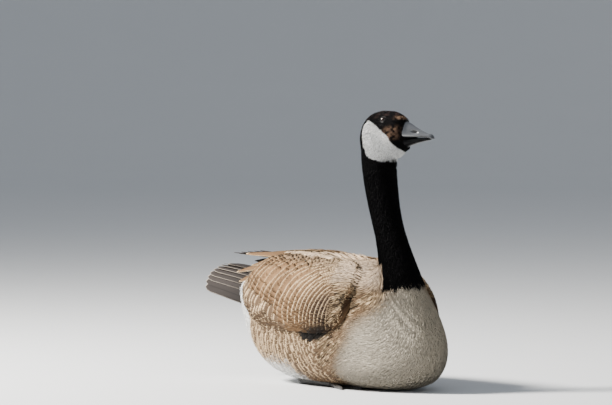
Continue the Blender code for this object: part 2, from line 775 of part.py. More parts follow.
def toe_points(reach_x, reach_y, scale):
    """Centre line of a toe from the ankle to its claw, low at the joints' pads and at the tip."""
    start = Vector((FOOT_X, ANKLE_Y, TOE_RADIUS + 0.0012))
    points, radii = [], []
    for t, height, radius in TOE_PROFILE:
        points.append(Vector((start.x + reach_x * t, start.y + reach_y * t, height * scale)))
        radii.append(TOE_RADIUS * scale * radius)
    return points, radii


def web(name, first, second):
    """The skin between two toes, from the ankle to a hollow front edge."""
    rings = []
    for i in range(6):
        t = 0.12 + 0.68 * i / 5
        edge = []
        a, b = (Vector((FOOT_X + toe[1] * t, ANKLE_Y + toe[2] * t, 0)) for toe in (first, second))
        for k in range(5):
            s = k / 4
            point = a.lerp(b, s)
            point.y += 0.010 * t * math.sin(math.pi * s)
            edge.append(point)
        lower = [point + Vector((0, 0, WEB_LOW)) for point in edge]
        upper = [point + Vector((0, 0, WEB_HIGH)) for point in reversed(edge)]
        rings.append(lower + upper)
    return loft(name, rings, thin=True)


def legs():
    """Shank, webbed foot and the stub of the thigh that meets the belly, for each side."""
    heel = Vector((FOOT_X - 0.003, HEEL_Y, 0.0072))
    ankle = Vector((FOOT_X, ANKLE_Y, 0.0052))
    shank_points = [heel.lerp(ankle, t) for t in (-0.08, 0.0, 0.15, 0.5, 0.85, 1.0, 1.05)]
    shank_radii = [SHANK_RADIUS * r for r in (0.7, 1.25, 1.12, 0.95, 0.98, 1.1, 0.6)]
    leg = tube("leg", shank_points, shank_radii, 9)
    stub_points = [heel + Vector((0, 0.002, -0.002)), heel + Vector((0, 0.002, TUCK_ROOF))]
    stub = tube("stub", stub_points, [0.0085, 0.0100], 12)
    parts = [stub]
    for name, reach_x, reach_y, scale in TOES:
        parts.append(tube(name, *toe_points(reach_x, reach_y, scale), 7))
    hallux = [
        Vector((FOOT_X - 0.004, ANKLE_Y + 0.004, 0.0050)),
        Vector((FOOT_X - 0.012, ANKLE_Y + 0.010, 0.0040)),
        Vector((FOOT_X - 0.018, ANKLE_Y + 0.016, 0.0022)),
    ]
    parts.append(tube("hallux", hallux, [0.0032, 0.0026, 0.0010], 8))
    parts += [web("web", TOES[0], TOES[1]), web("web", TOES[1], TOES[2])]
    join(leg, parts)
    keep_largest(leg)
    slice_off(leg, Vector((0, 0, 0)), Vector((0, 0, -1)))
    slice_off(leg, Vector((0, 0, TUCK_ROOF - GAP)), Vector((0, 0, 1)))
    left = copy_of(leg, "leg_left")
    right = mirrored(leg, "leg_right")
    bpy.data.objects.remove(leg)
    return [left, right]


def tuck(side):
    """The hollow in the belly that a tucked foot lies in, flat-roofed and open to the outside."""
    rings = []
    for z in (-0.004, TUCK_ROOF):
        ring = []
        for k in range(28):
            angle = 2 * math.pi * k / 28
            across, along = math.cos(angle), math.sin(angle)
            x = FOOT_X + 0.002 + 0.036 * math.copysign(abs(across) ** 0.8, across)
            y = -0.022 + 0.106 * math.copysign(abs(along) ** 0.8, along)
            ring.append(Vector((side * x, y, z)))
        rings.append(ring)
    return loft("tuck", rings)


def finish(obj, colour, roughness, metallic=0.0):
    material = bpy.data.materials.get(colour) or bpy.data.materials.new(colour)
    material.use_nodes = True
    shader = material.node_tree.nodes["Principled BSDF"]
    shader.inputs["Base Color"].default_value = (*COLOURS[colour], 1.0)
    shader.inputs["Roughness"].default_value = roughness
    shader.inputs["Metallic"].default_value = metallic
    obj.data.materials.clear()
    obj.data.materials.append(material)
    obj.data.shade_smooth()
    obj.data.set_sharp_from_angle(angle=math.radians(40))


def main():
    for obj in list(bpy.data.objects):
        bpy.data.objects.remove(obj)
    body = bodies()
    join(body["torso"], [tuck(1), tuck(-1)], "DIFFERENCE")
    keep_largest(body["torso"])
    finish(body["torso"], "torso", 0.8)
    finish(body["neck"], "neck", 0.8)
    finish(body["head"], "head", 0.8)
    for piece in tail(body["tail_root"]):
        finish(piece, "tail", 0.7)
    for piece in bill():
        finish(piece, "bill", 0.35)
    for piece in eyes():
        finish(piece, "eye", 0.05)
    for piece in wings():
        finish(piece, "wing", 0.75)
    for piece in legs():
        finish(piece, "leg", 0.5)


main()
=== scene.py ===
"""Canada goose, resting on its belly: plumage, bill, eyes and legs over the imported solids.

Run as a script. Each operator makes one piece or a group of like pieces, the last one the stage.
"""

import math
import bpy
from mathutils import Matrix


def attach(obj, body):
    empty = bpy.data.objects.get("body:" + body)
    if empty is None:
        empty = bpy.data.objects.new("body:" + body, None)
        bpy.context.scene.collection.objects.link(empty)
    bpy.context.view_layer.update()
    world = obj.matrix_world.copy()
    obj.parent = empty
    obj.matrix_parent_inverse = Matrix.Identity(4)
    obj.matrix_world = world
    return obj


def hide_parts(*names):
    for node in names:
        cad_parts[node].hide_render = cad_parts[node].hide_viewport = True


bl_info = {
    "name": "Canada goose",
    "version": (1, 0, 0),
    "blender": (4, 5, 0),
    "location": "View3D > Sidebar > Goose",
    "description": "Makes a life-size Canada goose with its plumage over the packed solids",
    "category": "Object",
}

import bpy
import numpy as np
from mathutils import Matrix, Vector

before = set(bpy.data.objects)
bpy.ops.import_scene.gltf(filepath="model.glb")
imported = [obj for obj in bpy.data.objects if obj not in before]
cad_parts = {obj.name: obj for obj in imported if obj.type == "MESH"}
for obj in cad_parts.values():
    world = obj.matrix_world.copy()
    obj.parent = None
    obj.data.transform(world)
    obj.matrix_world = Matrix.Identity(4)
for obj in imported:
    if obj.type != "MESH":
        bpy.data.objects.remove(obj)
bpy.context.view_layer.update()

QUARTER = math.pi / 2

# Body from tail root to bill root, as in the solids: place along Y and height of the point on the back,
# nape and crown line, the same for the belly, breast and throat line, half-width, how far up it is widest,
# squareness above and below that, and the turn in degrees about the top of the neck
BODY_SECTIONS = [
    (0.322, 0.160, 0.322, 0.146, 0.012, 0.50, 2.1, 2.1, 0),
    (0.305, 0.168, 0.305, 0.133, 0.028, 0.50, 2.1, 2.1, 0),
    (0.275, 0.178, 0.275, 0.106, 0.042, 0.50, 2.1, 2.2, 0),
    (0.240, 0.190, 0.240, 0.068, 0.058, 0.50, 2.1, 2.2, 0),
    (0.200, 0.202, 0.200, 0.034, 0.077, 0.50, 2.1, 2.3, 0),
    (0.150, 0.210, 0.150, 0.011, 0.094, 0.49, 2.1, 2.3, 0),
    (0.090, 0.213, 0.090, 0.000, 0.105, 0.48, 2.1, 2.4, 0),
    (0.020, 0.214, 0.020, -0.002, 0.110, 0.47, 2.1, 2.4, 0),
    (-0.050, 0.214, -0.050, -0.002, 0.110, 0.45, 2.1, 2.4, 0),
    (-0.092, 0.212, -0.105, -0.002, 0.106, 0.43, 2.05, 2.4, 0),
    (-0.108, 0.211, -0.150, -0.001, 0.099, 0.42, 1.9, 2.3, 0),
    (-0.114, 0.213, -0.190, 0.004, 0.087, 0.41, 1.75, 2.2, 0),
    (-0.115, 0.216, -0.221, 0.018, 0.073, 0.40, 1.75, 2.1, 0),
    (-0.115, 0.219, -0.242, 0.040, 0.059, 0.41, 1.8, 2.1, 0),
    (-0.114, 0.222, -0.249, 0.065, 0.049, 0.43, 1.9, 2.0, 0),
    (-0.113, 0.226, -0.244, 0.090, 0.042, 0.46, 2.0, 2.0, 0),
    (-0.111, 0.230, -0.232, 0.114, 0.038, 0.49, 2.0, 2.0, 0),
    (-0.109, 0.234, -0.218, 0.138, 0.0355, 0.50, 2.0, 2.0, 0),
    (-0.107, 0.239, -0.205, 0.163, 0.0330, 0.50, 2.0, 2.0, 0),
    (-0.104, 0.245, -0.191, 0.189, 0.0303, 0.50, 2.0, 2.0, 0),
    (-0.100, 0.252, -0.176, 0.216, 0.0278, 0.50, 2.0, 2.0, 0),
    (-0.096, 0.262, -0.161, 0.243, 0.0258, 0.50, 2.0, 2.0, 0),
    (-0.089, 0.277, -0.147, 0.270, 0.0252, 0.50, 2.0, 2.0, 0),
    (-0.0805, 0.300, -0.1345, 0.302, 0.0258, 0.50, 2.0, 2.0, 0),
    (-0.0715, 0.326, -0.1265, 0.334, 0.0272, 0.50, 2.0, 2.0, 2),
    (-0.0645, 0.352, -0.1215, 0.362, 0.0284, 0.50, 2.0, 2.0, 6),
    (-0.0600, 0.378, -0.1205, 0.384, 0.0288, 0.50, 2.0, 2.0, 14),
    (-0.0585, 0.400, -0.1225, 0.387, 0.0280, 0.50, 2.0, 2.0, 25),
    (-0.0565, 0.421, -0.1250, 0.388, 0.0272, 0.50, 2.0, 2.0, 33),
    (-0.0605, 0.440, -0.1280, 0.3895, 0.0268, 0.51, 2.05, 2.0, 33),
    (-0.0705, 0.455, -0.1300, 0.391, 0.0265, 0.52, 2.1, 2.0, 33),
    (-0.0850, 0.4635, -0.1320, 0.393, 0.0262, 0.53, 2.15, 2.0, 33),
    (-0.1000, 0.4665, -0.1345, 0.3955, 0.0255, 0.54, 2.2, 2.0, 33),
    (-0.1140, 0.4660, -0.1370, 0.398, 0.0236, 0.54, 2.2, 2.0, 33),
    (-0.1270, 0.4625, -0.1400, 0.4005, 0.0202, 0.52, 2.2, 2.0, 33),
    (-0.1380, 0.4555, -0.1445, 0.4025, 0.0168, 0.50, 2.2, 2.0, 33),
    (-0.1480, 0.4450, -0.1510, 0.4045, 0.0142, 0.48, 2.2, 2.0, 33),
    (-0.1570, 0.4360, -0.1580, 0.4070, 0.0120, 0.46, 2.2, 2.0, 33),
]
LAST_SECTION = len(BODY_SECTIONS) - 1

HEAD_PLACE = Vector((0.0, -0.088, 0.4215))
HEAD_SPIN = Matrix.Rotation(math.radians(33.0), 3, "Z")

# In the head's frame
EYE_PLACE = (0.0158, -0.017, 0.029)  # of the left eye
LID_SIDE = 0.021  # sideways place of the lids' opening
LID_MARGIN = 0.0008  # bare skin around the lids
BILL_EDGE = (0.0455, 0.22)  # the bill's rear edge: forward place at the mouth, and how it leans
CHIN_TOP, CHIN_REACH = -0.003, 1.1  # height below which the chin's plumage runs forward, and how steeply
BILL_OVERLAP, BILL_OVERLAP_HEIGHTS = 0.0032, (-0.014, -0.006)  # how far tufts start over the bill, and where

# Wings, as in the solids: place along Y, height of the lower edge, half-width left free on the back, thickness
WING_SECTIONS = [
    (-0.136, 0.150, 0.062, 0.0030),
    (-0.120, 0.118, 0.050, 0.0075),
    (-0.080, 0.103, 0.038, 0.0105),
    (-0.020, 0.104, 0.028, 0.0120),
    (0.050, 0.108, 0.018, 0.0130),
    (0.110, 0.113, 0.010, 0.0150),
    (0.160, 0.126, 0.006, 0.0165),
    (0.200, 0.146, 0.005, 0.0130),
    (0.222, 0.162, 0.006, 0.0060),
]

# Bill, as in the solids: forward place, underside, top and half-width
UPPER_BILL_SECTIONS = [
    (0.040, -0.0010, 0.0318, 0.0166),
    (0.049, -0.0005, 0.0287, 0.0152),
    (0.058, 0.0000, 0.0250, 0.0140),
    (0.068, 0.0005, 0.0185, 0.0128),
    (0.080, 0.0010, 0.0118, 0.0118),
    (0.090, 0.0006, 0.0074, 0.0102),
    (0.0975, -0.0012, 0.0048, 0.0078),
    (0.1018, -0.0024, 0.0004, 0.0030),
]
LOWER_BILL_SECTIONS = [
    (0.040, -0.0200, -0.0012, 0.0150),
    (0.048, -0.0178, -0.0010, 0.0136),
    (0.058, -0.0140, -0.0005, 0.0122),
    (0.070, -0.0098, 0.0000, 0.0112),
    (0.081, -0.0068, 0.0004, 0.0100),
    (0.0905, -0.0046, 0.0002, 0.0082),
    (0.0960, -0.0034, -0.0014, 0.0050),
]


def color_prop(name, description, default):
    return bpy.props.FloatVectorProperty(
        name=name, description=description, subtype="COLOR", size=3, min=0.0, max=1.0, default=default
    )


def length_prop(name, description, default):
    return bpy.props.FloatProperty(name=name, description=description, unit="LENGTH", min=0.0, default=default)


def angle_prop(name, description, degrees):
    return bpy.props.FloatProperty(name=name, description=description, subtype="ANGLE", default=math.radians(degrees))


class PlumageSettings(bpy.types.PropertyGroup):
    """Colours and coat depth of the plumage."""

    black: color_prop("Black", "Head and neck", (0.0028, 0.0026, 0.0030))
    white: color_prop("White", "Cheek patch, belly and undertail", (0.90, 0.90, 0.88))
    # the breast's own pale grey, darkened as painted shade
    breast: color_prop("Breast", "Front of the breast", (0.31, 0.275, 0.215))
    flank: color_prop("Flank", "Middle of the flank feathers", (0.150, 0.093, 0.052))
    back: color_prop("Back", "Middle of the back feathers", (0.620, 0.470, 0.330))
    covert: color_prop("Covert", "Middle of the wing's coverts", (0.235, 0.132, 0.062))
    # painted shade: coverts at the front of the wing, darkened as if in shadow
    covert_shade: color_prop("Dark covert", "Coverts at the front of the wing", (0.030, 0.015, 0.007))
    quill: color_prop("Quill", "Long feathers of the wing tip", (0.014, 0.010, 0.009))
    tail: color_prop("Tail", "Tail feathers", (0.028, 0.023, 0.021))
    margin: color_prop("Margin", "Pale edge of each feather", (0.62, 0.450, 0.265))
    body_depth: length_prop("Body coat depth", "How far the skin of the body lies inside the solids", 0.006)
    neck_depth: length_prop("Neck coat depth", "How far the skin of the neck lies inside the solids", 0.0030)
    head_depth: length_prop("Head coat depth", "How far the skin of the head lies inside the solids", 0.0016)


class HeadSettings(bpy.types.PropertyGroup):
    """Sizes and colours of the bill and eyes."""

    # painted sheen: the bill is black; this grey on the upper mandible stands for sheen, and the lower one takes a
    # twentieth of it
    horn_sheen: color_prop("Horn", "Bill", (0.085, 0.088, 0.096))
    iris: color_prop("Iris", "Eye", (0.014, 0.007, 0.004))
    eye_radius: length_prop("Eye radius", "Radius of the eyeball", 0.0072)
    lid_radius: length_prop("Lid radius", "Radius of the opening between the lids", 0.0056)
    lid_thickness: length_prop("Lid thickness", "Half-thickness of the rim of the lids", 0.0009)


class StageSettings(bpy.types.PropertyGroup):
    """Floor and camera."""

    floor: color_prop("Floor", "Floor", (0.72, 0.73, 0.74))
    camera_azimuth: angle_prop("Camera azimuth", "Turn of the camera about the goose", -34)
    camera_elevation: angle_prop("Camera elevation", "Height angle of the camera", 4)
    camera_distance: length_prop("Camera distance", "From the goose to the camera", 8.0)


# Shapes of the body and wings


def curve_through(rows):
    """A function that reads smooth values at an array of places between rows of (place, value, ...)."""
    table = np.array(rows, float)
    places, values = table[:, 0], table[:, 1:]
    steps = np.diff(values, axis=0) / np.diff(places)[:, None]
    a, b = steps[:-1], steps[1:]
    total = np.where(np.abs(a + b) < 1e-12, 1.0, a + b)
    inner = np.where(a * b > 0, 2 * a * b / total, 0.0)
    slopes = np.concatenate([steps[:1], inner, steps[-1:]])

    def read(at):
        at = np.asarray(at, float)
        i = np.clip(np.searchsorted(places, at, side="right") - 1, 0, len(places) - 2)
        span = (places[i + 1] - places[i])[..., None]
        t = np.clip((at - places[i])[..., None] / span, 0.0, 1.0)
        low = (1 + 2 * t) * (1 - t) ** 2 * values[i] + t * (1 - t) ** 2 * span * slopes[i]
        high = t * t * (3 - 2 * t) * values[i + 1] + t * t * (t - 1) * span * slopes[i + 1]
        return low + high

    return read


read_body = curve_through([(index, *row) for index, row in enumerate(BODY_SECTIONS)])
read_wing = curve_through(WING_SECTIONS)


def lookup(rows, at):
    """Reads straight-line values between rows of (place, value)."""
    return np.interp(at, *zip(*rows))


def pace(moves, least):
    """Lengths of vectors, but never less than the least."""
    return np.maximum(np.linalg.norm(moves, axis=-1), least)


def unit(vectors):
    return vectors / pace(vectors, 1e-12)[..., None]


def signed_power(base, power):
    return np.sign(base) * np.abs(base) ** power


def body_points(section, angle, grow=0.0):
    """Points of the body's surface. The section counts along the table, the angle from the left side over the back."""
    section, angle = np.broadcast_arrays(np.asarray(section, float), np.asarray(angle, float))
    c = read_body(section)
    top, low = c[..., 0:2], c[..., 2:4]
    half_width, share, above, below, turn = (c[..., k] for k in range(4, 9))
    length = pace(top - low, 1e-9)
    up = (top - low) / length[..., None]
    height = length + 2 * grow
    across, rise = np.cos(angle), np.sin(angle)
    power = 2 / np.where(rise > 0, above, below)
    across, rise = signed_power(across, power), signed_power(rise, power)
    along = -grow + share * height + np.where(rise > 0, (1 - share) * height, share * height) * rise
    yz = low + up * along[..., None]
    x = (half_width + grow) * across
    y, z = yz[..., 0] - HEAD_PLACE.y, yz[..., 1]
    turn = np.radians(turn)
    turned_y = x * np.sin(turn) + y * np.cos(turn) + HEAD_PLACE.y
    return np.stack([x * np.cos(turn) - y * np.sin(turn), turned_y, z], -1)


def body_frame(section, angle, grow=0.0):
    """Point, outward normal, and how the point moves with the section and with the angle."""
    ds, da = 0.03, 0.02
    point = body_points(section, angle, grow)
    along = (body_points(section + ds, angle, grow) - body_points(section - ds, angle, grow)) / (2 * ds)
    around = (body_points(section, angle + da, grow) - body_points(section, angle - da, grow)) / (2 * da)
    return point, unit(np.cross(around, along)), along, around


def coat_depth(section):
    """How far the skin lies inside the solids. Inside the bill it lies deeper, out of sight."""
    look = bpy.context.scene.goose_plumage
    body, neck, head = look.body_depth, look.neck_depth, look.head_depth
    rows = [(0, 0.003), (4, body), (12, body), (19, neck), (26, neck), (29, head), (33.5, head),
            (34.2, 0.0028), (34.8, 0.0054), (36, 0.0058), (37, 0.0070)]
    return lookup(rows, section)


WING_START, WING_END = WING_SECTIONS[0][0], WING_SECTIONS[-1][0]
WING_LENGTH = WING_END - WING_START
WING_STEPS = 120
WING_SHARES = np.linspace(0, 1, WING_STEPS)
WING_RIM = 0.0015  # thickness at the wing's edge
UPPER_EDGE_SHARE = 0.35  # of the thickness is left at the upper edge
WING_BODY_SECTIONS = (2.0, 14.0)  # between which the wing lies


def wing_tables():
    """For steps along the wing: the section under it and the angles of its lower and upper edges."""
    sections = np.linspace(*WING_BODY_SECTIONS, 1200)
    side_y = body_points(sections, 0.0)[:, 1]
    angles = np.linspace(-QUARTER, QUARTER, 721)
    places = np.linspace(WING_START, WING_END, WING_STEPS)
    under = np.interp(places, side_y[::-1], sections[::-1])
    edges = read_wing(places)
    low, high = [], []
    for section, edge in zip(under, edges):
        ring = body_points(section, angles)
        low.append(np.interp(edge[0], ring[:, 2], angles))
        upper = angles > 0
        high.append(np.interp(-edge[1], -ring[upper, 0], angles[upper]))
    return under, np.array(low), np.array(high)


WING_UNDER, WING_LOW, WING_HIGH = wing_tables()


def wing_edges(u):
    """Angles about the body of the wing's lower and upper edges."""
    return np.interp(u, WING_SHARES, WING_LOW), np.interp(u, WING_SHARES, WING_HIGH)


def wing_under(u, v, grow=0.0):
    """The body's frame beneath a place on the wing."""
    low, high = wing_edges(u)
    return body_frame(np.interp(u, WING_SHARES, WING_UNDER), low + v * (high - low), grow)


def wing_swell(u, v):
    """How much thicker the folded wing is than its rim."""
    v = np.clip(v, 0, 1)
    upper = 1 - (1 - UPPER_EDGE_SHARE) * (2 * v - 1) ** 2
    swell = np.where(v < 0.5, np.sin(math.pi * np.minimum(v, 0.5)) ** 0.5, upper)
    return (read_wing(WING_START + np.clip(u, 0, 1) * WING_LENGTH)[..., 2] - WING_RIM) * swell


def wing_points(u, v, lift=0.0):
    """Points of the folded left wing's outer surface: u runs from bend to rear, v from lower to upper edge."""
    u, v = np.broadcast_arrays(np.asarray(u, float), np.asarray(v, float))
    inside = np.clip(u, 0, 1)
    point, normal, along, _ = wing_under(inside, v)
    point = point + normal * (WING_RIM + wing_swell(u, v) + lift)[..., None]
    beyond = (u - inside)[..., None] * WING_LENGTH
    return point - unit(along) * beyond, normal


# Markings


def to_head(points):
    """Forward, sideways and height of points in the head's own frame."""
    local = (points - np.array(HEAD_PLACE)) @ np.array(HEAD_SPIN)
    return -local[..., 1], local[..., 0], local[..., 2]


def ripple(points, scale, seed=0.0):
    """Smooth pseudo-random values from about -1 to 1, with lumps of about the given size."""
    chance = np.random.default_rng(int(seed * 10) + 7)
    total = np.zeros(points.shape[:-1])
    for _ in range(9):
        wave = chance.normal(0, 1, 3)
        wave *= 2 * math.pi / scale / np.linalg.norm(wave) * chance.uniform(0.6, 1.3)
        total = total + np.sin(points @ wave + chance.uniform(0, 6.28))
    return total / 4.0


def step(low, high, value):
    """0 at low and 1 at high, smooth between; low may be the larger one."""
    t = np.clip((value - low) / (high - low), 0, 1)
    return t * t * (3 - 2 * t)


def peak(*offsets, power=4):
    """1 at the middle of a spot and 0 away from it. Each offset is a distance divided by the spot's half-size."""
    return np.exp(-sum(offset ** power for offset in offsets))


def oval(spot, x, y, power=4):
    """1 in an oval spot, given by its middle and its half-sizes, and 0 away from it."""
    return peak((x - spot[0]) / spot[2], (y - spot[1]) / spot[3], power=power)


def blend(first, second, share):
    """A mix of two colours at each point."""
    return first + (np.asarray(second) - first) * np.asarray(share)[..., None]


# Tones that the settings don't hold
LORE_TONE = (0.24, 0.145, 0.095)
# painted highlight on the forehead above the bill's base
BROW_HIGHLIGHT_TONE = (0.42, 0.27, 0.18)
# painted sheen on the top of the head
CROWN_SHEEN_TONE = (0.060, 0.036, 0.032)
SHOULDER_TONES = ((0.150, 0.092, 0.050), (0.520, 0.400, 0.295))  # beside the wing and on the back
SUNLIT_BREAST = (0.50, 0.45, 0.37)
# painted shadow: near-black skin in the hollow under the wing
HOLLOW_SHADOW_SKIN = (0.004, 0.003, 0.002)
MOUTH_SKIN = (0.004, 0.003, 0.003)
WING_BACK_SKIN = (0.40, 0.30, 0.20)
# painted shadow: near-black wing base in the hollow under the wing and along its front-lower edge
WING_SHADOW_SKIN = (0.010, 0.006, 0.003)
UPPER_COVERT = (0.46, 0.335, 0.220)


# Cheek patch in the head's frame: height against the mouth, its rear and front edges
CHEEK = [
    (-0.0370, 0.022, 0.056),
    (-0.0350, 0.012, 0.056),
    (-0.0320, 0.004, 0.056),
    (-0.0280, -0.004, 0.055),
    (-0.0234, -0.0103, 0.052),
    (-0.0200, -0.0122, 0.0495),
    (-0.0160, -0.0140, 0.0455),
    (-0.0139, -0.0152, 0.0430),
    (-0.0076, -0.0185, 0.0360),
    (0.0040, -0.0203, 0.0290),
    (0.0095, -0.0206, 0.0235),
    (0.0146, -0.0204, 0.0177),
    (0.0230, -0.0185, 0.0090),
    (0.0280, -0.0140, 0.0020),
    (0.0320, -0.0070, -0.0040),
]
CHEEK_LOW, CHEEK_HIGH = -0.0365, 0.0322
# Spots: forward place and height in the head's frame, half-sizes: the brown lore, and a painted highlight on the
# forehead above the bill's base
LORE = (0.036, 0.009, 0.013, 0.010)
BROW_HIGHLIGHT = (0.047, 0.0325, 0.008, 0.0028)
# Heights over which painted sheen spreads over the crown
CROWN_SHEEN_HEIGHTS = (0.030, 0.040)


def cheek_share(points):
    """1 inside the white cheek patch, 0 outside, with a soft ragged edge."""
    forward, _, height = to_head(points)
    rear = lookup([(row[0], row[1]) for row in CHEEK], height)
    front = lookup([(row[0], row[2]) for row in CHEEK], height)
    wobble = 0.0008 * ripple(points, 0.006, 2.0)
    inside = np.minimum.reduce([forward - rear, front - forward, CHEEK_HIGH - height, height - CHEEK_LOW]) + wobble
    return step(-0.0006, 0.0010, inside)


def head_tint(points):
    """Colours of the head: black, with a brown lore, a painted highlight on the forehead, painted sheen on the crown,
    and the white cheek.
    """
    look = bpy.context.scene.goose_plumage
    forward, _, height = to_head(points)
    lore = oval(LORE, forward, height) * np.clip(0.55 + 0.8 * ripple(points, 0.0060, 1.0), 0, 1)
    color = blend(np.broadcast_to(look.black, points.shape), LORE_TONE, 0.75 * lore)
    # painted highlight on the forehead above the bill's base
    brow = oval(BROW_HIGHLIGHT, forward, height) * np.clip(0.7 + 0.6 * ripple(points, 0.005, 5.0), 0, 1)
    color = blend(color, BROW_HIGHLIGHT_TONE, 0.85 * brow)
    # painted sheen over the top of the head
    crown = step(*CROWN_SHEEN_HEIGHTS, height) * np.clip(0.2 + 0.8 * ripple(points, 0.009, 3.0), 0, 1)
    color = blend(color, CROWN_SHEEN_TONE, 0.8 * crown)
    return blend(color, look.white, cheek_share(points) * (0.95 + 0.05 * ripple(points, 0.005, 4.0)))


ALL_BLACK_ABOVE = 0.236  # height from which the neck is black all round


def neck_border(points):
    """Height of the lower edge of the black neck."""
    x, y = points[..., 0], points[..., 1]
    return 0.179 + 0.08 * x + 0.042 * step(-0.162, -0.138, y) + 0.0025 * ripple(points, 0.012, 3.0)


def breast_place(points):
    """Place along the body that the edge of the pale breast follows: it slants back towards the belly."""
    return points[..., 1] + 0.5 * (points[..., 2] - 0.080)


def shoulder_place(points):
    """Place along the body where down takes over from vanes: it slants forward up the neck's root."""
    return points[..., 1] - 0.50 * np.maximum(points[..., 2] - 0.080, 0)


# Place along Y where the white of the vent starts, by height
WHITE_PLACES = ((0.0, 0.120), (0.030, 0.152), (0.064, 0.168), (0.106, 0.164), (0.143, 0.190), (0.165, 0.230))
# Soft edges of the body's markings: where each starts and ends, along Y or in height
BREAST_PLACES, BACK_HEIGHTS = (-0.160, -0.112), (0.15, 0.20)
SHOULDER_PLACES, SHOULDER_LOW_HEIGHTS, SHOULDER_TOP_HEIGHTS = (-0.070, -0.100), (0.105, 0.135), (0.165, 0.190)
BELLY_PLACES, BELLY_TOP_HEIGHTS = (0.010, 0.060), (0.020, 0.050)
VENT_SOFTNESS, VENT_TOP_HEIGHTS = 0.004, (0.150, 0.165)
RUMP_PLACES, RUMP_HEIGHTS = (0.196, 0.212), (0.140, 0.165)
CRESCENT_PLACES, CRESCENT_HEIGHTS = (0.243, 0.250), (0.128, 0.150)
NECK_SOFTNESS, NAPE_PLACES = 0.0015, (-0.090, -0.078)


def body_tint(points, normals):
    """Colour of the middle of a body feather, and how strong its pale margin is."""
    look = bpy.context.scene.goose_plumage
    y, z = points[..., 1], points[..., 2]
    soft = ripple(points, 0.05, 0.3)
    pale = 1 - step(*BREAST_PLACES, breast_place(points) + 0.010 * soft)
    flank = np.broadcast_to(look.flank, points.shape)
    brown = blend(flank, look.back, step(*BACK_HEIGHTS, z))
    brown = brown * (1 + 0.16 * ripple(points, 0.03, 5.0))[..., None]
    low, top = SHOULDER_TONES
    tan = blend(np.broadcast_to(low, points.shape), top, step(*SHOULDER_TOP_HEIGHTS, z))
    tan = blend(flank, tan, step(*SHOULDER_LOW_HEIGHTS, z))
    brown = blend(brown, tan, step(*SHOULDER_PLACES, y))
    # the breast colour holds painted shade, and the next line paints sunlight on the breast's left side
    color = blend(brown, look.breast, pale)
    color = blend(color, SUNLIT_BREAST, 0.25 * step(-0.3, 0.9, -normals[..., 0]) * pale)
    belly = step(*BELLY_PLACES, y) * (1 - step(*BELLY_TOP_HEIGHTS, z))
    vent = y - lookup(WHITE_PLACES, z) + VENT_SOFTNESS * soft
    vent = step(-VENT_SOFTNESS, VENT_SOFTNESS, vent) * (1 - step(*VENT_TOP_HEIGHTS, z))
    white = np.maximum(belly, vent)
    color = blend(color, look.white, white)
    rump = step(*RUMP_PLACES, y) * step(*RUMP_HEIGHTS, z)
    color = blend(color, look.quill, rump)
    crescent = step(*CRESCENT_PLACES, y) * step(*CRESCENT_HEIGHTS, z)
    color = blend(color, look.white, crescent)
    black = step(-NECK_SOFTNESS, NECK_SOFTNESS, z - neck_border(points)) * (1 - step(*NAPE_PLACES, y))
    black = np.where(z > ALL_BLACK_ABOVE, 1.0, black)
    color = blend(color, look.black, black)
    margin = (0.80 - 0.30 * pale) * (1 - white) * (1 - rump) * (1 - black)
    return color, np.clip(margin * (0.9 + 0.25 * ripple(points, 0.02, 7.0)), 0, 1)


# Meshes of many feathers

NO_CAPS = np.zeros((0, 4), int)


def new_object(name, data):
    obj = bpy.data.objects.new(name, data)
    bpy.context.scene.collection.objects.link(obj)
    return obj


def list_mesh(name, vertices, faces):
    """A flat-shaded mesh from lists of vertices and faces."""
    mesh = bpy.data.meshes.new(name)
    mesh.from_pydata([tuple(vertex) for vertex in vertices], [], faces)
    mesh.update()
    return new_object(name, mesh)


def array_mesh(name, vertices, quads, caps=NO_CAPS):
    """A smooth mesh from arrays of vertices, four-sided faces and end faces, and the vertex of each face corner."""
    mesh = bpy.data.meshes.new(name)
    mesh.vertices.add(len(vertices))
    mesh.vertices.foreach_set("co", np.ascontiguousarray(vertices, np.float32).ravel())
    corners = np.concatenate([quads.ravel(), caps.ravel()])
    sizes = np.concatenate([np.full(len(quads), 4), np.full(len(caps), caps.shape[1])])
    mesh.loops.add(len(corners))
    mesh.loops.foreach_set("vertex_index", corners.astype(np.int32))
    mesh.polygons.add(len(sizes))
    mesh.polygons.foreach_set("loop_start", np.concatenate([[0], np.cumsum(sizes)[:-1]]).astype(np.int32))
    mesh.update(calc_edges=True)
    mesh.shade_smooth()
    return new_object(name, mesh), corners


def tube(name, vertices, sides, looped=False, inside_out=False):
    """Faces over rings of vertices, with an end face at each end unless the last ring joins the first."""
    rings = len(vertices) // sides
    spans = rings if looped else rings - 1
    i, j = (part.ravel() for part in np.meshgrid(np.arange(spans), np.arange(sides), indexing="ij"))
    below, after = (i + 1) % rings, (j + 1) % sides
    quads = np.stack([i * sides + j, below * sides + j, below * sides + after, i * sides + after], -1)
    ring = np.arange(sides)
    caps = NO_CAPS if looped else np.stack([ring, (rings - 1) * sides + ring[::-1]])
    if inside_out:
        quads, caps = quads[:, [0, 3, 2, 1]], caps[:, ::-1]
    return array_mesh(name, vertices, quads, caps)[0]


def add_tint(mesh, colors, alphas):
    layer = mesh.color_attributes.new("Tint", "FLOAT_COLOR", "POINT")
    layer.data.foreach_set("color", np.concatenate([colors, alphas[:, None]], 1).astype(np.float32).ravel())


def add_map(mesh, name, values):
    mesh.uv_layers.new(name=name).data.foreach_set("uv", np.ascontiguousarray(values, np.float32).ravel())


BAKE_PATCH = 0.003  # size of one feather in the map OFBake


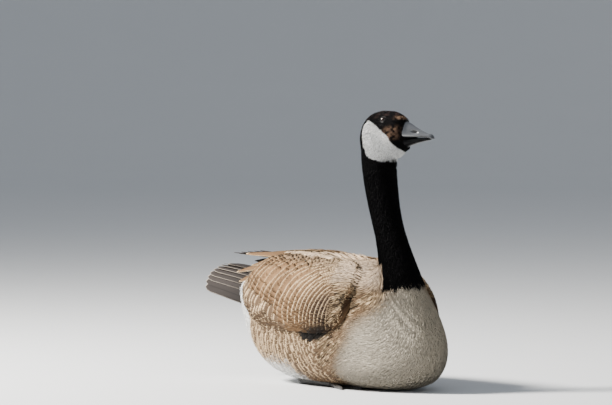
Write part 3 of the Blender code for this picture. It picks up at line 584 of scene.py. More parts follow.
def feather_mesh(name, paths, normals, widths, outline, tints, alphas, places, tones, thickness, columns, camber):
    """Joins feathers into one mesh. Each is a closed thin vane along its path, with shared edges and a raised middle.

    Widths, tints and alphas are one value for all feathers or one for each.
    """
    count, stations = paths.shape[:2]
    widths, alphas = np.broadcast_to(widths, count), np.broadcast_to(alphas, count)
    tints = np.broadcast_to(tints, (count, 3))
    along = np.gradient(paths, axis=1)
    side = unit(np.cross(along, normals))
    up = unit(np.cross(side, along))
    half = (widths[:, None] / 2 * outline[None, :])[:, :, None]
    t = np.linspace(0, 1, stations)

    def face(across, sign):
        """The upper or lower face, thinner towards the tip and bent down at the sides."""
        out = paths[:, :, None] + side[:, :, None] * (half * across)[..., None]
        rise = sign * thickness * (1 - 0.5 * t)[None, :, None] / 2 * (1 - across ** 2)
        rise = rise - camber * half * across ** 2
        return out + up[:, :, None] * rise[..., None]

    spread = np.linspace(-1, 1, columns)
    inner = spread[1:-1] if columns > 2 else np.zeros(1)
    ring = np.concatenate([face(spread, 1.0), face(inner, -1.0)[:, :, ::-1]], axis=2)
    sides = ring.shape[2]
    base = np.arange(count)[:, None, None] * stations * sides
    i = np.arange(stations - 1)[None, :, None] * sides
    j = np.arange(sides)[None, None, :]
    after = (j + 1) % sides
    corners = [base + i + j, base + i + sides + j, base + i + sides + after, base + i + after]
    quads = np.stack(corners, -1).reshape(-1, 4)
    first = (np.arange(count)[:, None] * stations * sides) + np.arange(sides)[None, :]
    last = first[:, ::-1] + (stations - 1) * sides
    obj, corners = array_mesh(name, ring.reshape(-1, 3), quads, np.concatenate([first, last]))
    uv = np.stack(np.meshgrid(np.concatenate([spread, inner[::-1]]) * 0.5 + 0.5, t), -1)
    uv = np.broadcast_to(uv, (count, stations, sides, 2)).reshape(-1, 2)
    add_map(obj.data, "Feather", uv[corners])
    owner = np.repeat(np.arange(count), stations * sides)
    bake = places[owner] * (1 - 2 * BAKE_PATCH) + BAKE_PATCH + (uv - 0.5) * BAKE_PATCH
    add_map(obj.data, "OFBake", bake[corners])
    add_tint(obj.data, np.clip((tints * tones[:, None]), 0, 1)[owner], alphas[owner])
    return obj


BARBS_PER_VANE = 5
BARB_OUTLINE = np.array([0.8, 1.0, 0.1])
BARB_THICKNESS = 0.0003
FLANK_BARB_WIDTH = 0.0016
COVERT_BARB_WIDTH = 0.0009


def fringe(paths, normals, widths, outline, chance, start, stray):
    """Barbs along the tip of each vane: their paths, normals and the vane that each belongs to."""
    feathers, stations = paths.shape[:2]
    owner = np.repeat(np.arange(feathers), BARBS_PER_VANE)
    share = np.tile(np.arange(BARBS_PER_VANE), feathers) + chance.uniform(0.1, 0.9, len(owner))
    share = share / BARBS_PER_VANE * 2 - 1
    t = np.linspace(0, 1, stations)
    widest = int(np.argmax(outline))
    end = np.interp(-np.abs(share) * outline[widest], -outline[widest:], t[widest:])
    side = unit(np.cross(np.gradient(paths, axis=1), normals))

    def spot(at, reach):
        """A point on the owner's vane, or beyond its tip."""
        place = np.clip(at, 0, 1) * (stations - 1)
        low = np.minimum(place.astype(int), stations - 2)
        part = (place - low)[:, None]
        point = paths[owner, low] * (1 - part) + paths[owner, low + 1] * part
        step_on = (paths[owner, -1] - paths[owner, -2]) * (stations - 1)
        point = point + step_on * np.maximum(0, at - 1)[:, None]
        return point + side[owner, low] * (share * widths[owner] / 2 * reach)[:, None]

    first = np.minimum(start + chance.uniform(-0.06, 0.06, len(owner)), end - 0.12)
    last = end + chance.uniform(0.2, 1.0, len(owner)) * stray
    lift = normals[owner, -1] * chance.uniform(0.0002, 0.0007, len(owner))[:, None]
    barbs = np.stack([spot(first, 0.86), spot((first + last) / 2, 0.95) + lift, spot(last, 1.02) + lift * 0.6], 1)
    return barbs, np.repeat(normals[owner, -1][:, None], 3, 1), owner


def outline_of(stations, root, widest, tip):
    """Half-width shares of a feather from root to tip."""
    t = np.linspace(0, 1, stations)
    rise = root + (1 - root) * np.sin(QUARTER * np.minimum(1, t / 0.5))
    reach = (1 - widest) / math.sqrt(1 - tip ** 2)
    fall = np.sqrt(np.maximum(0, 1 - (np.maximum(0, t - widest) / reach) ** 2))
    return rise * fall


SIDE_PLACES = np.linspace(*WING_BODY_SECTIONS, 300)
SIDE_Y = body_points(SIDE_PLACES, 0.0)[:, 1]


def wing_place(section, angle):
    """Shares of the wing's length and height at a place of the body, on either side."""
    angle = np.mod(angle + QUARTER, 2 * math.pi) - QUARTER
    angle = np.where(angle > QUARTER, math.pi - angle, angle)
    u = (np.interp(section, SIDE_PLACES, SIDE_Y) - WING_START) / WING_LENGTH
    low, high = wing_edges(u)
    return u, (angle - low) / (high - low)


def wing_rise(section, angle):
    """How far the folded wing raises the feathers that lie over its edges."""
    u, v = wing_place(section, angle)
    ramp = 0.03 + 0.09 * step(0.35, 0.55, u)
    inside = step(-0.02, 0.03, u) * (1 - step(0.95, 1.0, u))
    inside = inside * step(-ramp, 0.4 * ramp, v) * (1 - step(0.97, 1.05, v))
    return inside * (0.0033 + wing_swell(u, v))


# Share of the wing's height that the flank feathers lie over, along its lower edge
FLANK_OVER = ((0.0, 0.0), (0.38, 0.01), (0.50, 0.08), (0.70, 0.14), (0.95, 0.16))


# Painted shadow in the hollow under the wing: middle and half-sizes as shares of the wing's length and height, and its
# slant
HOLLOW_SHADOW = (0.220, 0.0, 0.115, 0.070)
HOLLOW_SHADOW_SLANT = 0.30


def hollow_shadow_share(u, v):
    """1 where shadow is painted in the hollow beneath the front of the wing's lower edge, 0 away from it."""
    return oval(HOLLOW_SHADOW, u, v - HOLLOW_SHADOW_SLANT * (HOLLOW_SHADOW[0] - u))


TAIL_END = 0.15  # section beyond which no feather runs


def walk(section, angle, length, depth, stand, drift, stations, power, over_wing=False):
    """Paths over the body from roots at a depth towards the tail, with their normals. Tips stand off the surface."""
    points, normals = [], []
    s, a = section.copy(), angle.copy()
    for t in np.linspace(0, 1, stations):
        point, normal, along, around = body_frame(s, a)
        rise = stand * t - depth * (1 - t) ** power
        if over_wing:
            rise = rise + wing_rise(s, a) * (1 + 0.12 * t)
        points.append(point + normal * rise[:, None])
        normals.append(normal)
        s = np.maximum(TAIL_END, s - length / (stations - 1) / pace(along, 0.004))
        a = a + drift * length / (stations - 1) / pace(around, 0.004)
    return np.stack(points, 1), np.stack(normals, 1)


def rows_on_body(first, last, gap_along, gap_around, chance, jitter=0.24, slant=0.0):
    """Staggered rows of roots over the body between two sections, from the belly round to the belly again."""
    steps = np.linspace(first, last, 600)
    lines = [body_points(steps, angle) for angle in (0.0, QUARTER, -QUARTER)]
    travel = np.maximum.reduce([np.linalg.norm(np.diff(line, axis=0), axis=1) for line in lines])
    reach = np.concatenate([[0], np.cumsum(travel)])
    fan = np.linspace(-QUARTER, 3 * QUARTER, 400)
    sections, angles = [], []
    for row, at in enumerate(np.arange(0, reach[-1], gap_along)):
        s = np.interp(at, reach, steps)
        around = np.concatenate([[0], np.cumsum(np.linalg.norm(np.diff(body_points(s, fan), axis=0), axis=1))])
        places = np.arange(0.5 * (row % 2), around[-1] / gap_around) * gap_around
        turn = np.interp(places, around, fan)
        sections.append(s - slant * step(0.3, -0.9, np.sin(turn)))
        angles.append(turn)
    s, a = np.concatenate(sections), np.concatenate(angles)
    s = s + chance.normal(0, jitter, len(s)) * gap_along / pace(body_frame(s, a)[2], 0.006)
    a = a + chance.normal(0, jitter, len(a)) * gap_around / pace(body_frame(s, a)[3], 0.006)
    return np.clip(s, 0.2, LAST_SECTION - 0.05), a


def unwrap(section, angle):
    """Place in the map OFBake of a place on the body."""
    return np.stack([np.mod(angle + QUARTER, 2 * math.pi) / (2 * math.pi), section / LAST_SECTION], -1)


# Materials


class Value:
    """A number socket that takes part in Python arithmetic."""

    def __init__(self, kit, socket):
        self.kit, self.socket = kit, socket

    def math(self, operation, *others):
        return self.kit.value("ShaderNodeMath", {"operation": operation}, dict(enumerate((self, *others))))

    def __add__(self, other):
        return self.math("ADD", other)

    __radd__ = __add__

    def __sub__(self, other):
        return self.math("SUBTRACT", other)

    def __rsub__(self, other):
        return self.kit.value("ShaderNodeMath", {"operation": "SUBTRACT"}, {0: other, 1: self})

    def __mul__(self, other):
        return self.math("MULTIPLY", other)

    __rmul__ = __mul__

    def __pow__(self, other):
        return self.math("POWER", other)

    def __abs__(self):
        return self.math("ABSOLUTE")

    def highest(self, other):
        return self.math("MAXIMUM", other)

    def between(self, low, high):
        """0 below low, 1 above high, smooth between."""
        sockets = {"Value": self, "From Min": low, "From Max": high}
        return self.kit.value("ShaderNodeMapRange", {"interpolation_type": "SMOOTHSTEP"}, sockets)


class Kit:
    """Adds nodes to one material."""

    def __init__(self, name):
        self.material = bpy.data.materials.new(name)
        self.material.use_nodes = True
        self.tree = self.material.node_tree
        self.shader = self.tree.nodes["Principled BSDF"]

    def add(self, kind, settings=None, sockets=None):
        node = self.tree.nodes.new(kind)
        for key, value in (settings or {}).items():
            setattr(node, key, value)
        for key, value in (sockets or {}).items():
            self.feed(node.inputs[key], value)
        return node

    def feed(self, socket, value):
        if isinstance(value, Value):
            value = value.socket
        if isinstance(value, bpy.types.NodeSocket):
            self.tree.links.new(value, socket)
        elif hasattr(value, "__len__") and len(value) == 3 and len(socket.default_value) == 4:
            socket.default_value = (*value, 1.0)
        else:
            socket.default_value = value

    def value(self, kind, settings=None, sockets=None, output=0):
        return Value(self, self.add(kind, settings, sockets).outputs[output])

    def mix(self, factor, first, second, kind="MIX"):
        settings = {"data_type": "RGBA", "blend_type": kind}
        return self.add("ShaderNodeMix", settings, {0: factor, 6: first, 7: second}).outputs[2]

    def noise(self, scale, detail, vector=None):
        sockets = {"Scale": scale, "Detail": detail, "Roughness": 0.55}
        if vector is not None:
            sockets["Vector"] = vector
        return self.value("ShaderNodeTexNoise", None, sockets)

    def place(self):
        return self.add("ShaderNodeTexCoord").outputs["Object"]

    def tint(self):
        return self.add("ShaderNodeAttribute", {"attribute_name": "Tint"}).outputs

    def scaled(self, color, share):
        return self.add("ShaderNodeVectorMath", {"operation": "SCALE"}, {0: color, "Scale": share}).outputs[0]

    def finish(self, color, roughness, bump=None, strength=0.3, distance=0.001, **fixed):
        """Joins up the shader. Other inputs are given by name, with _ for each space."""
        self.feed(self.shader.inputs["Base Color"], color)
        self.feed(self.shader.inputs["Roughness"], roughness)
        if bump is not None:
            node = self.add("ShaderNodeBump", None, {"Strength": strength, "Distance": distance, "Height": bump})
            self.feed(self.shader.inputs["Normal"], node.outputs[0])
        for name, value in fixed.items():
            self.shader.inputs[name.replace("_", " ")].default_value = value
        return self.material


def plumage_material(name, margin_start=0.62, margin_end=0.92, streaks=24.0, streak_depth=0.3, shaft=0.0,
                     shade=0.35, side_share=0.45, band=0.0, side_power=3.0, tip_power=5.0, gloss=0.12, rim_color=None):
    """Feathers: tinted middle, pale margin, dark shaft, fine barbs and a shaded root."""
    kit = Kit(name)
    tint = kit.tint()
    spot = kit.add("ShaderNodeUVMap", {"uv_map": "Feather"}).outputs[0]
    width, along = (Value(kit, part) for part in kit.add("ShaderNodeSeparateXYZ", None, {0: spot}).outputs[:2])
    across = abs(width * 2 - 1)
    barb_spot = kit.add("ShaderNodeCombineXYZ", None, {0: across * -0.35 + along, 1: width * 0.15}).outputs[0]
    streak = kit.noise(streaks, 2.0, barb_spot)
    grain = kit.noise(900.0, 2.0, kit.place())
    rim = (across ** side_power * side_share).highest(along ** tip_power) + (streak - 0.5) * 0.16
    margin = rim.between(margin_start, margin_end) * Value(kit, tint["Alpha"])
    color = kit.mix(margin, tint["Color"], rim_color or bpy.context.scene.goose_plumage.margin)
    root = (1 - along.between(0.15, 0.85)) * shade
    dim = (1 - root) * (1 - streak_depth / 2 + streak_depth * streak) * (0.86 + 0.28 * grain)
    dim = dim * (1 - (1 - across.between(0.03, 0.09)) * shaft)
    if band:
        dim = dim * (1 - band * along.between(0.45, 0.80) * (1 - margin))
    bump = streak * 0.7 + grain * 0.5
    return kit.finish(kit.scaled(color, dim), 0.8, bump, 0.25, 0.0006, Specular_IOR_Level=gloss)


def skin_material():
    kit = Kit("skin_down")
    spot = kit.place()
    fine = kit.noise(700.0, 3.0, spot)
    broad = kit.noise(60.0, 2.0, spot)
    color = kit.scaled(kit.tint()["Color"], 0.60 + 0.30 * fine + 0.10 * broad)
    return kit.finish(color, 0.9, fine, 0.5, 0.0012, Specular_IOR_Level=0.03)


def horn_material(name, tone, gloss, ior):
    kit = Kit(name)
    spot = kit.place()
    fine = kit.noise(420.0, 4.0, spot)
    broad = kit.noise(70.0, 3.0, spot)
    color = kit.mix(broad.between(0.35, 0.75), tone, tuple(0.6 * part for part in tone))
    # the Tint attribute paints the nostrils' shade and the black edge and tip over the horn
    color = kit.mix(1.0, color, kit.tint()["Color"], "MULTIPLY")
    rough = 0.20 + 0.14 * broad + 0.10 * fine
    return kit.finish(color, rough, fine * 0.6 + broad, 0.12, 0.0006, Specular_IOR_Level=gloss, IOR=ior)


def leg_material():
    kit = Kit("leg_skin")
    cells = kit.value("ShaderNodeTexVoronoi", {"feature": "DISTANCE_TO_EDGE"}, {"Vector": kit.place(), "Scale": 420.0})
    gap = cells.between(0.02, 0.14)
    tone = kit.noise(90.0, 3.0, kit.place())
    color = kit.mix(gap * (0.6 + 0.4 * tone), (0.006, 0.006, 0.006), (0.036, 0.033, 0.030))
    return kit.finish(color, 0.62 - 0.2 * gap, gap, 0.6, 0.0008)


def eye_material():
    kit = Kit("eye_surface")
    look = bpy.context.scene.goose_head
    tone = kit.noise(300.0, 2.0, kit.place())
    color = kit.mix(tone, look.iris, (0.004, 0.002, 0.001))
    return kit.finish(color, 0.08, None, Specular_IOR_Level=0.35, Coat_Weight=0.4, Coat_Roughness=0.02)


def lid_material():
    kit = Kit("lid_skin")
    fine = kit.noise(900.0, 3.0, kit.place())
    return kit.finish(kit.mix(fine, (0.006, 0.006, 0.006), (0.012, 0.010, 0.009)), 0.85, fine, 0.4, 0.0004)


def use(obj, material, slot, *nodes):
    """Gives a finished piece its material and its body, and says which solids it stands for. Its slot is not used."""
    obj.data.materials.clear()
    obj.data.materials.append(material)
    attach(obj, "root")
    if nodes:
        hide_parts(*nodes)


# Pieces

# Velvet coats: name, sections between which they grow, gap between roots
HEAD_COATS = (("head_coat_rear", 25.6, 30.6, 0.00165), ("head_coat_front", 30.6, 36.9, 0.0013))
NECK_COATS = (("neck_coat_low", 11.5, 20.0, 0.0022), ("neck_coat_high", 20.0, 25.6, 0.0022))
# Length of the head's tufts by forward place, and widths as shares of the length
HEAD_TUFT_LENGTHS = ((-0.03, 0.0075), (0.0, 0.0062), (0.03, 0.0042), (0.055, 0.0032))
HEAD_TUFT_WIDTH = 0.34
NECK_TUFT_WIDTH = 0.30
NECK_TUFT_LENGTH = 0.0105
VELVET_SPREAD = 0.16  # of the tufts' directions
# Share of the coat's depth at which tufts start, by section: shallow beside the bill
ROOT_SHARES = ((32.5, 1.0), (33.6, 0.35), (34.1, 0.40), (34.6, 0.50))

SKIN_STEP = 0.125
SKIN_SIDES = 112
HEAD_START = (24.5, 25.5)  # sections over which the body's colours give way to the head's
MOUTH_START = (0.044, 0.047)  # forward places over which the skin turns black
SKIN_CLEARANCE = 0.0003  # above the floor
VANE_CLEARANCE = 0.0012
DOWN_CLEARANCE = 0.0010


class GOOSE_OT_skin(bpy.types.Operator):
    """One unbroken skin under the plumage, from the tail root to the bill"""

    bl_idname = "goose.skin"
    bl_label = "Skin"

    def execute(self, context):
        sections = np.arange(0, LAST_SECTION + SKIN_STEP / 2, SKIN_STEP)
        angles = np.arange(SKIN_SIDES) * 2 * math.pi / SKIN_SIDES - QUARTER
        s, a = (part.ravel() for part in np.meshgrid(sections, angles, indexing="ij"))
        points = body_points(s, a, -coat_depth(s))
        points[:, 2] = np.maximum(points[:, 2], SKIN_CLEARANCE)
        skin = tube("skin", points, SKIN_SIDES, inside_out=True)
        color, _ = body_tint(points, body_frame(s, a)[1])
        # painted shadow: the skin turns near-black in the hollow under the wing
        color = blend(color, HOLLOW_SHADOW_SKIN, hollow_shadow_share(*wing_place(s, a)))
        head = step(*HEAD_START, s)
        color = blend(color, head_tint(points), head)
        color = blend(color, MOUTH_SKIN, head * step(*MOUTH_START, to_head(points)[0]))
        add_tint(skin.data, np.clip(color, 0, 1), np.zeros(len(color)))
        use(skin, skin_material(), "body_plumage", "torso", "neck", "head")
        return {"FINISHED"}


def velvet(name, first, last, gap, length, width, tint, chance, keep):
    """Short dense tufts that lie down the head and neck, with roots at the depth of the skin."""
    s, a = rows_on_body(first, last, gap, gap, chance)
    root = body_points(s, a)
    kept = keep(root)
    s, a, root = s[kept], a[kept], root[kept]
    count, size = len(s), length(root)
    stand = 0.00035 + 0.0006 * chance.random(count)
    depth = coat_depth(s) * lookup(ROOT_SHARES, s)
    drift = chance.normal(0, VELVET_SPREAD, count)
    paths, normals = walk(s, a, size, depth, stand, drift, stations=3, power=1.3)
    widths = width * size * chance.uniform(0.85, 1.2, count)
    tones = chance.uniform(0.75, 1.25, count)
    outline = np.array([0.75, 1.0, 0.12])
    return feather_mesh(name, paths, normals, widths, outline, tint(root), 0.0, unwrap(s, a), tones,
                        thickness=0.0005, columns=2, camber=0.35)


def off_bill(root):
    """True for roots behind the bill's edge and clear of the eyes."""
    forward, side, height = to_head(root)
    edge = BILL_EDGE[0] + BILL_EDGE[1] * height + CHIN_REACH * np.maximum(0, CHIN_TOP - height)
    face = forward < edge + BILL_OVERLAP * step(*BILL_OVERLAP_HEIGHTS, height)
    ahead, above, aside = forward + EYE_PLACE[1], height - EYE_PLACE[2], np.abs(side) - LID_SIDE
    from_eye = np.sqrt(ahead ** 2 + above ** 2 + 0.25 * aside ** 2)
    return face & (from_eye > bpy.context.scene.goose_head.lid_radius + LID_MARGIN)


class GOOSE_OT_head_coat(bpy.types.Operator):
    """Velvety plumage of the head with its white cheek patch"""

    bl_idname = "goose.head_coat"
    bl_label = "Head plumage"

    def execute(self, context):
        chance = np.random.default_rng(3)
        material = plumage_material("head_velvet", gloss=0.08)

        def length(root):
            return lookup(HEAD_TUFT_LENGTHS, to_head(root)[0])

        for name, first, last, gap in HEAD_COATS:
            piece = velvet(name, first, last, gap, length, HEAD_TUFT_WIDTH, head_tint, chance, off_bill)
            use(piece, material, "head_plumage")
        return {"FINISHED"}


class GOOSE_OT_neck_coat(bpy.types.Operator):
    """Short black plumage of the neck"""

    bl_idname = "goose.neck_coat"
    bl_label = "Neck plumage"

    def execute(self, context):
        chance = np.random.default_rng(4)
        material = plumage_material("neck_velvet", gloss=0.04)

        def length(root):
            return np.full(len(root), NECK_TUFT_LENGTH)

        def tint(points):
            return body_tint(points, np.zeros_like(points))[0]

        def keep(root):
            return root[:, 2] > neck_border(root) - 0.002

        for name, first, last, gap in NECK_COATS:
            piece = velvet(name, first, last, gap, length, NECK_TUFT_WIDTH, tint, chance, keep)
            use(piece, material, "neck_plumage")
        return {"FINISHED"}


def downward(angle, strength):
    """Sideways lie of the feathers: down the flanks towards the belly."""
    return -np.cos(angle) * strength


def shade_in_hollow(colors, margins, painted_shadow, share):
    """Colours and margins of feathers, darkened by painted shadow in the hollow under the wing."""
    return colors * (1 - share * painted_shadow)[:, None], margins * (1 - painted_shadow)


# Coats of vanes: name, sections between which they grow, gaps along and around, length, width, slant of the rows
# towards the belly in sections, seed
VANE_COATS = (
    ("flank_coat", 3.4, 13.6, 0.0125, 0.0066, 0.042, 0.0240, 2.0, 6),
    ("rump_coat", 0.5, 4.4, 0.0100, 0.0095, 0.030, 0.0160, 0.0, 7),
)
# Coats of down: name, sections between which they grow, gap between roots, seed
DOWN_COATS = (
    ("shoulder_down", 6.4, 14.8, 0.0030, 14),
    ("breast_down", 7.4, 19.8, 0.0025, 15),
    ("belly_down", 3.6, 10.4, 0.0042, 17),
)
VANE_SLOPES = ((-0.10, 0.45), (-0.03, 0.10), (0.05, -0.30), (0.20, -0.45))  # sideways lie by place along Y
VANE_WIDENING = ((-0.10, 0.38), (-0.03, 1.0))  # share of the width by place behind the breast
DOWN_LENGTHS = ((10.4, 0.021), (13.5, 0.018), (19.8, 0.014))  # by section
DOWN_WIDTHS = ((10.4, 0.0025), (19.8, 0.0019))  # by section
BELLY_DOWN_WIDTH = 0.0027
DOWN_SLOPES = ((3.6, -0.20), (10.4, 0.50), (13.5, 0.45), (19.8, 0.30))  # sideways lie by section
SHOULDER_SLOPES = ((0.10, 0.7), (0.15, 0.9), (0.19, 0.35), (0.215, 0.0))  # sideways lie by height
SHOULDER_ENDS = ((0.0, 0.05), (0.5, 0.04), (0.8, 0.14), (1.0, 0.20))  # how far it covers the wing, by share of height
TUFTS_PER_PIECE = 9000  # more than this and down is made in two pieces
VANE_STATIONS = 6
DOWN_STATIONS = 4
# how strongly painted shadow darkens feathers in the hollow under the wing
HOLLOW_SHADOW_STRENGTH = 0.97


class GOOSE_OT_body_coat(bpy.types.Operator):
    """Contour feathers of the breast, belly, flanks, back and rump"""

    bl_idname = "goose.body_coat"
    bl_label = "Body plumage"

    def execute(self, context):
        soft = plumage_material("breast_feathers", margin_start=0.55, margin_end=1.1, streak_depth=0.2, shade=0.12,
                                side_share=0.0)
        bold = plumage_material("contour_feathers", margin_start=0.54, margin_end=0.80, shaft=0.06, shade=0.15,
                                band=0.42, side_share=0.0)
        for row in VANE_COATS:
            self.vanes(*row, material=bold if row[0] == "flank_coat" else soft)
        for row in DOWN_COATS:
            self.down(*row, material=soft)
        return {"FINISHED"}

    def vanes(self, name, first, last, gap_along, gap_around, length, width, slant, seed, material):
        """Overlapping feathers of the flanks and rump, with barbs along their tips."""
        look = bpy.context.scene.goose_plumage
        chance = np.random.default_rng(seed)
        s, a = rows_on_body(first, last, gap_along, gap_around, chance, jitter=0.07, slant=slant)
        root, normal, _, _ = body_frame(s, a)
        u, v = wing_place(s, a)
        under_wing = (u > -0.02) & (u < 0.90) & (v > lookup(FLANK_OVER, u)) & (v < 0.93)
        underneath = (root[:, 2] < 0.010) & (normal[:, 2] < -0.6)
        front = shoulder_place(root)
        keep = ~under_wing & ~underneath & (root[:, 2] < neck_border(root) + 0.002)
        keep &= chance.random(len(s)) < step(-0.108, -0.085, front)
        s, a, root, normal, u, v, front = (part[keep] for part in (s, a, root, normal, u, v, front))
        count, height = len(s), root[:, 2]
        size = length * chance.uniform(0.94, 1.06, count) * np.where(height < 0.03, 0.8, 1.0)
        stand = np.where(height < 0.02, -0.0015, 0.0002 + 0.0012 * chance.random(count))
        slope = lookup(VANE_SLOPES, root[:, 1])
        lean = downward(a, slope * step(0.205, 0.150, height)) + chance.normal(0, 0.05, count)
        paths, normals = walk(s, a, size, coat_depth(s) * 0.8, stand, lean, VANE_STATIONS, power=1.6, over_wing=True)
        paths[..., 2] = np.maximum(paths[..., 2], VANE_CLEARANCE)
        colors, margins = body_tint(0.3 * root + 0.7 * paths[:, -1], normal)
        # painted shadow: flank feathers in the hollow under the wing are darkened and lose their margins
        painted_shadow = step(0.10, 0.50, hollow_shadow_share(u + 0.10, v))
        colors, margins = shade_in_hollow(np.clip(colors, 0, 1), margins, painted_shadow, HOLLOW_SHADOW_STRENGTH)
        widths = width * chance.uniform(0.85, 1.15, count) * lookup(VANE_WIDENING, front)
        tones = chance.uniform(0.90, 1.10, count)
        outline = outline_of(VANE_STATIONS, root=0.55, widest=0.80, tip=0.60)
        places = unwrap(s, a)
        piece = feather_mesh(name, paths, normals, widths, outline, colors, margins, places, tones,
                             thickness=0.0008, columns=5, camber=0.07)
        use(piece, material, "body_plumage")
        barbs, barb_normals, owner = fringe(paths, normals, widths, outline, chance, start=0.88, stray=0.030)
        hue = blend(colors, look.margin, 0.9 * margins)[owner]
        tones = tones[owner] * chance.uniform(0.9, 1.1, len(owner))
        piece = feather_mesh(name + "_fringe", barbs, barb_normals, FLANK_BARB_WIDTH, BARB_OUTLINE, hue, 0.0,
                             places[owner], tones, thickness=BARB_THICKNESS, columns=2, camber=0.0)
        use(piece, material, "body_plumage")

    def down(self, name, first, last, gap, seed, material):
        """Fine hair-like tufts of the shoulders, breast and belly."""
        belly, breast, shoulder = (name == part + "_down" for part in ("belly", "breast", "shoulder"))
        chance = np.random.default_rng(seed)
        s, a = rows_on_body(first, last, gap, gap, chance)
        root, normal, along, _ = body_frame(s, a)
        u, v = wing_place(s, a)
        paces = [np.linalg.norm(body_frame(s, turn)[2], axis=-1) for turn in (-QUARTER, 0.0, QUARTER)]
        keep = chance.random(len(s)) < 1.15 * np.linalg.norm(along, axis=-1) / np.max(paces, axis=0)
        keep &= (root[:, 2] < neck_border(root) + 0.001) & ~((root[:, 2] < 0.003) & (normal[:, 2] < -0.93))
        pale = 1 - step(-0.160, -0.105, breast_place(root) + 0.012 * ripple(root, 0.03, 9.0))
        if belly:
            keep &= root[:, 2] < 0.050
        if breast:
            keep &= chance.random(len(s)) < 1.4 * pale + 0.02
        if shoulder:
            near = 1 - step(-0.090, -0.058, shoulder_place(root))
            keep &= (chance.random(len(s)) < near) & (chance.random(len(s)) < 1.25 - pale)
            keep &= ~((u > lookup(SHOULDER_ENDS, v)) & (v > 0.0) & (v < 0.985))
        s, a, root, normal, u, v, pale = (part[keep] for part in (s, a, root, normal, u, v, pale))
        count, height = len(s), root[:, 2]
        length = lookup(DOWN_LENGTHS, s) * chance.uniform(0.8, 1.2, count)
        stand = np.where(height < 0.02, -0.001, 0.0001 + 0.0004 * chance.random(count))
        slope = lookup(SHOULDER_SLOPES, height) if shoulder else lookup(DOWN_SLOPES, s)
        lean = downward(a, slope * step(-0.190, -0.125, root[:, 1])) + chance.normal(0, 0.06, count)
        lean = lean + 0.03 * ripple(root, 0.020, 6.0)
        depth = coat_depth(s) * 0.28
        paths, normals = walk(s, a, length, depth, stand, lean, DOWN_STATIONS, power=1.5, over_wing=shoulder)
        paths[..., 2] = np.maximum(paths[..., 2], DOWN_CLEARANCE)
        colors, margins = body_tint(0.5 * root + 0.5 * paths[:, -1], normal)
        tones = chance.uniform(0.94, 1.05, count) * (1 + 0.03 * ripple(root, 0.015, 8.0))
        if shoulder:
            low = step(0.195, 0.165, height)
            stripe = step(0.1, 0.7, 0.5 * ripple(root, 0.010, 11.0) + chance.uniform(-0.2, 0.9, count))
            margin = bpy.context.scene.goose_plumage.margin
            colors = blend(colors, margin, stripe * (0.25 + 0.55 * low) * (1 - pale))
            # painted shadow: tufts just before the wing's front-lower edge are darkened, less where they are striped
            edge = peak((u + 0.03) / 0.06, power=2) * step(0.60, 0.42, v) * step(-0.25, -0.10, v)
            gap_shade = step(0.0, 0.55, ripple(root, 0.011, 12.0)) * low * (1 - pale)
            colors = colors * ((1 - 0.93 * edge * (1 - 0.55 * stripe)) * (1 - 0.65 * gap_shade))[:, None]
            # painted shadow: shoulder tufts in the hollow under the wing are darkened
            painted_shadow = step(0.10, 0.50, hollow_shadow_share(u + 0.05, v))
            colors, margins = shade_in_hollow(colors, margins, painted_shadow, HOLLOW_SHADOW_STRENGTH)
        halves = chance.random(count) < 0.5 if count > TUFTS_PER_PIECE else np.ones(count, bool)
        outline = np.array([0.7, 1.0, 0.8, 0.1])
        for part, chosen in (("", halves), ("_under", ~halves)):
            if chosen.any():
                width = BELLY_DOWN_WIDTH if belly else lookup(DOWN_WIDTHS, s)
                width = (width * chance.uniform(0.8, 1.3, count))[chosen]
                piece = feather_mesh(name + part, paths[chosen], normals[chosen], width, outline,
                                     np.clip(colors, 0, 1)[chosen], margins[chosen] * 0.3, unwrap(s, a)[chosen],
                                     tones[chosen], thickness=0.0003, columns=2, camber=0.10)
                use(piece, material, "body_plumage")


def bezier(root, middle, tip, stations):
    """Curved paths from roots to tips, bent towards their middles."""
    t = np.linspace(0, 1, stations)[None, :, None]
    return root[:, None] * (1 - t) ** 2 + middle[:, None] * 2 * t * (1 - t) + tip[:, None] * t * t


SIDE_SIGNS = {"left": np.ones(3), "right": np.array([-1.0, 1.0, 1.0])}
LONG_STATIONS = 12  # along a long feather

# Tertials of the left wing: root's shares of the wing's length and height, tip, width
TERTIALS = [
    (0.60, 0.16, (0.079, 0.200, 0.138), 0.028),
    (0.60, 0.27, (0.074, 0.212, 0.147), 0.030),
    (0.60, 0.38, (0.066, 0.226, 0.156), 0.032),
    (0.58, 0.50, (0.056, 0.253, 0.170), 0.030),
    (0.57, 0.62, (0.041, 0.284, 0.184), 0.026),
    (0.56, 0.72, (0.036, 0.243, 0.197), 0.030),
    (0.55, 0.80, (0.020, 0.287, 0.2145), 0.022),
    (0.53, 0.91, (0.015, 0.246, 0.2165), 0.034),
]
TERTIAL_WIDENING = 1.05
PRIMARY_COUNT = 5
PRIMARY_WIDTH = 0.021
PRIMARY_ROOT = (0.036, 0.172, 0.203)
TIP_HEIGHTS = {"left": 0.2150, "right": 0.2010}

WING_HEIGHT = 0.16  # of the wing laid flat, edge to edge
BEND_V = 0.55  # share of the wing's height at which the rows of coverts come together
HUMP_HEIGHT = 0.0048
# Painted shade on the coverts at the front: middle and half-sizes as shares of the wing's length and height
SHADED_COVERTS = (0.13, 0.24, 0.20, 0.31)
COVERT_DEPTH = 0.0038  # of the base under the coverts' surface
WING_SUNK = 0.007  # how far the base reaches into the body
# Share of the wing's length at which the coverts end, by share of its height
COVERT_ENDS = ((0, 0.86), (0.15, 0.90), (0.4, 0.93), (0.7, 0.90), (1, 0.86))


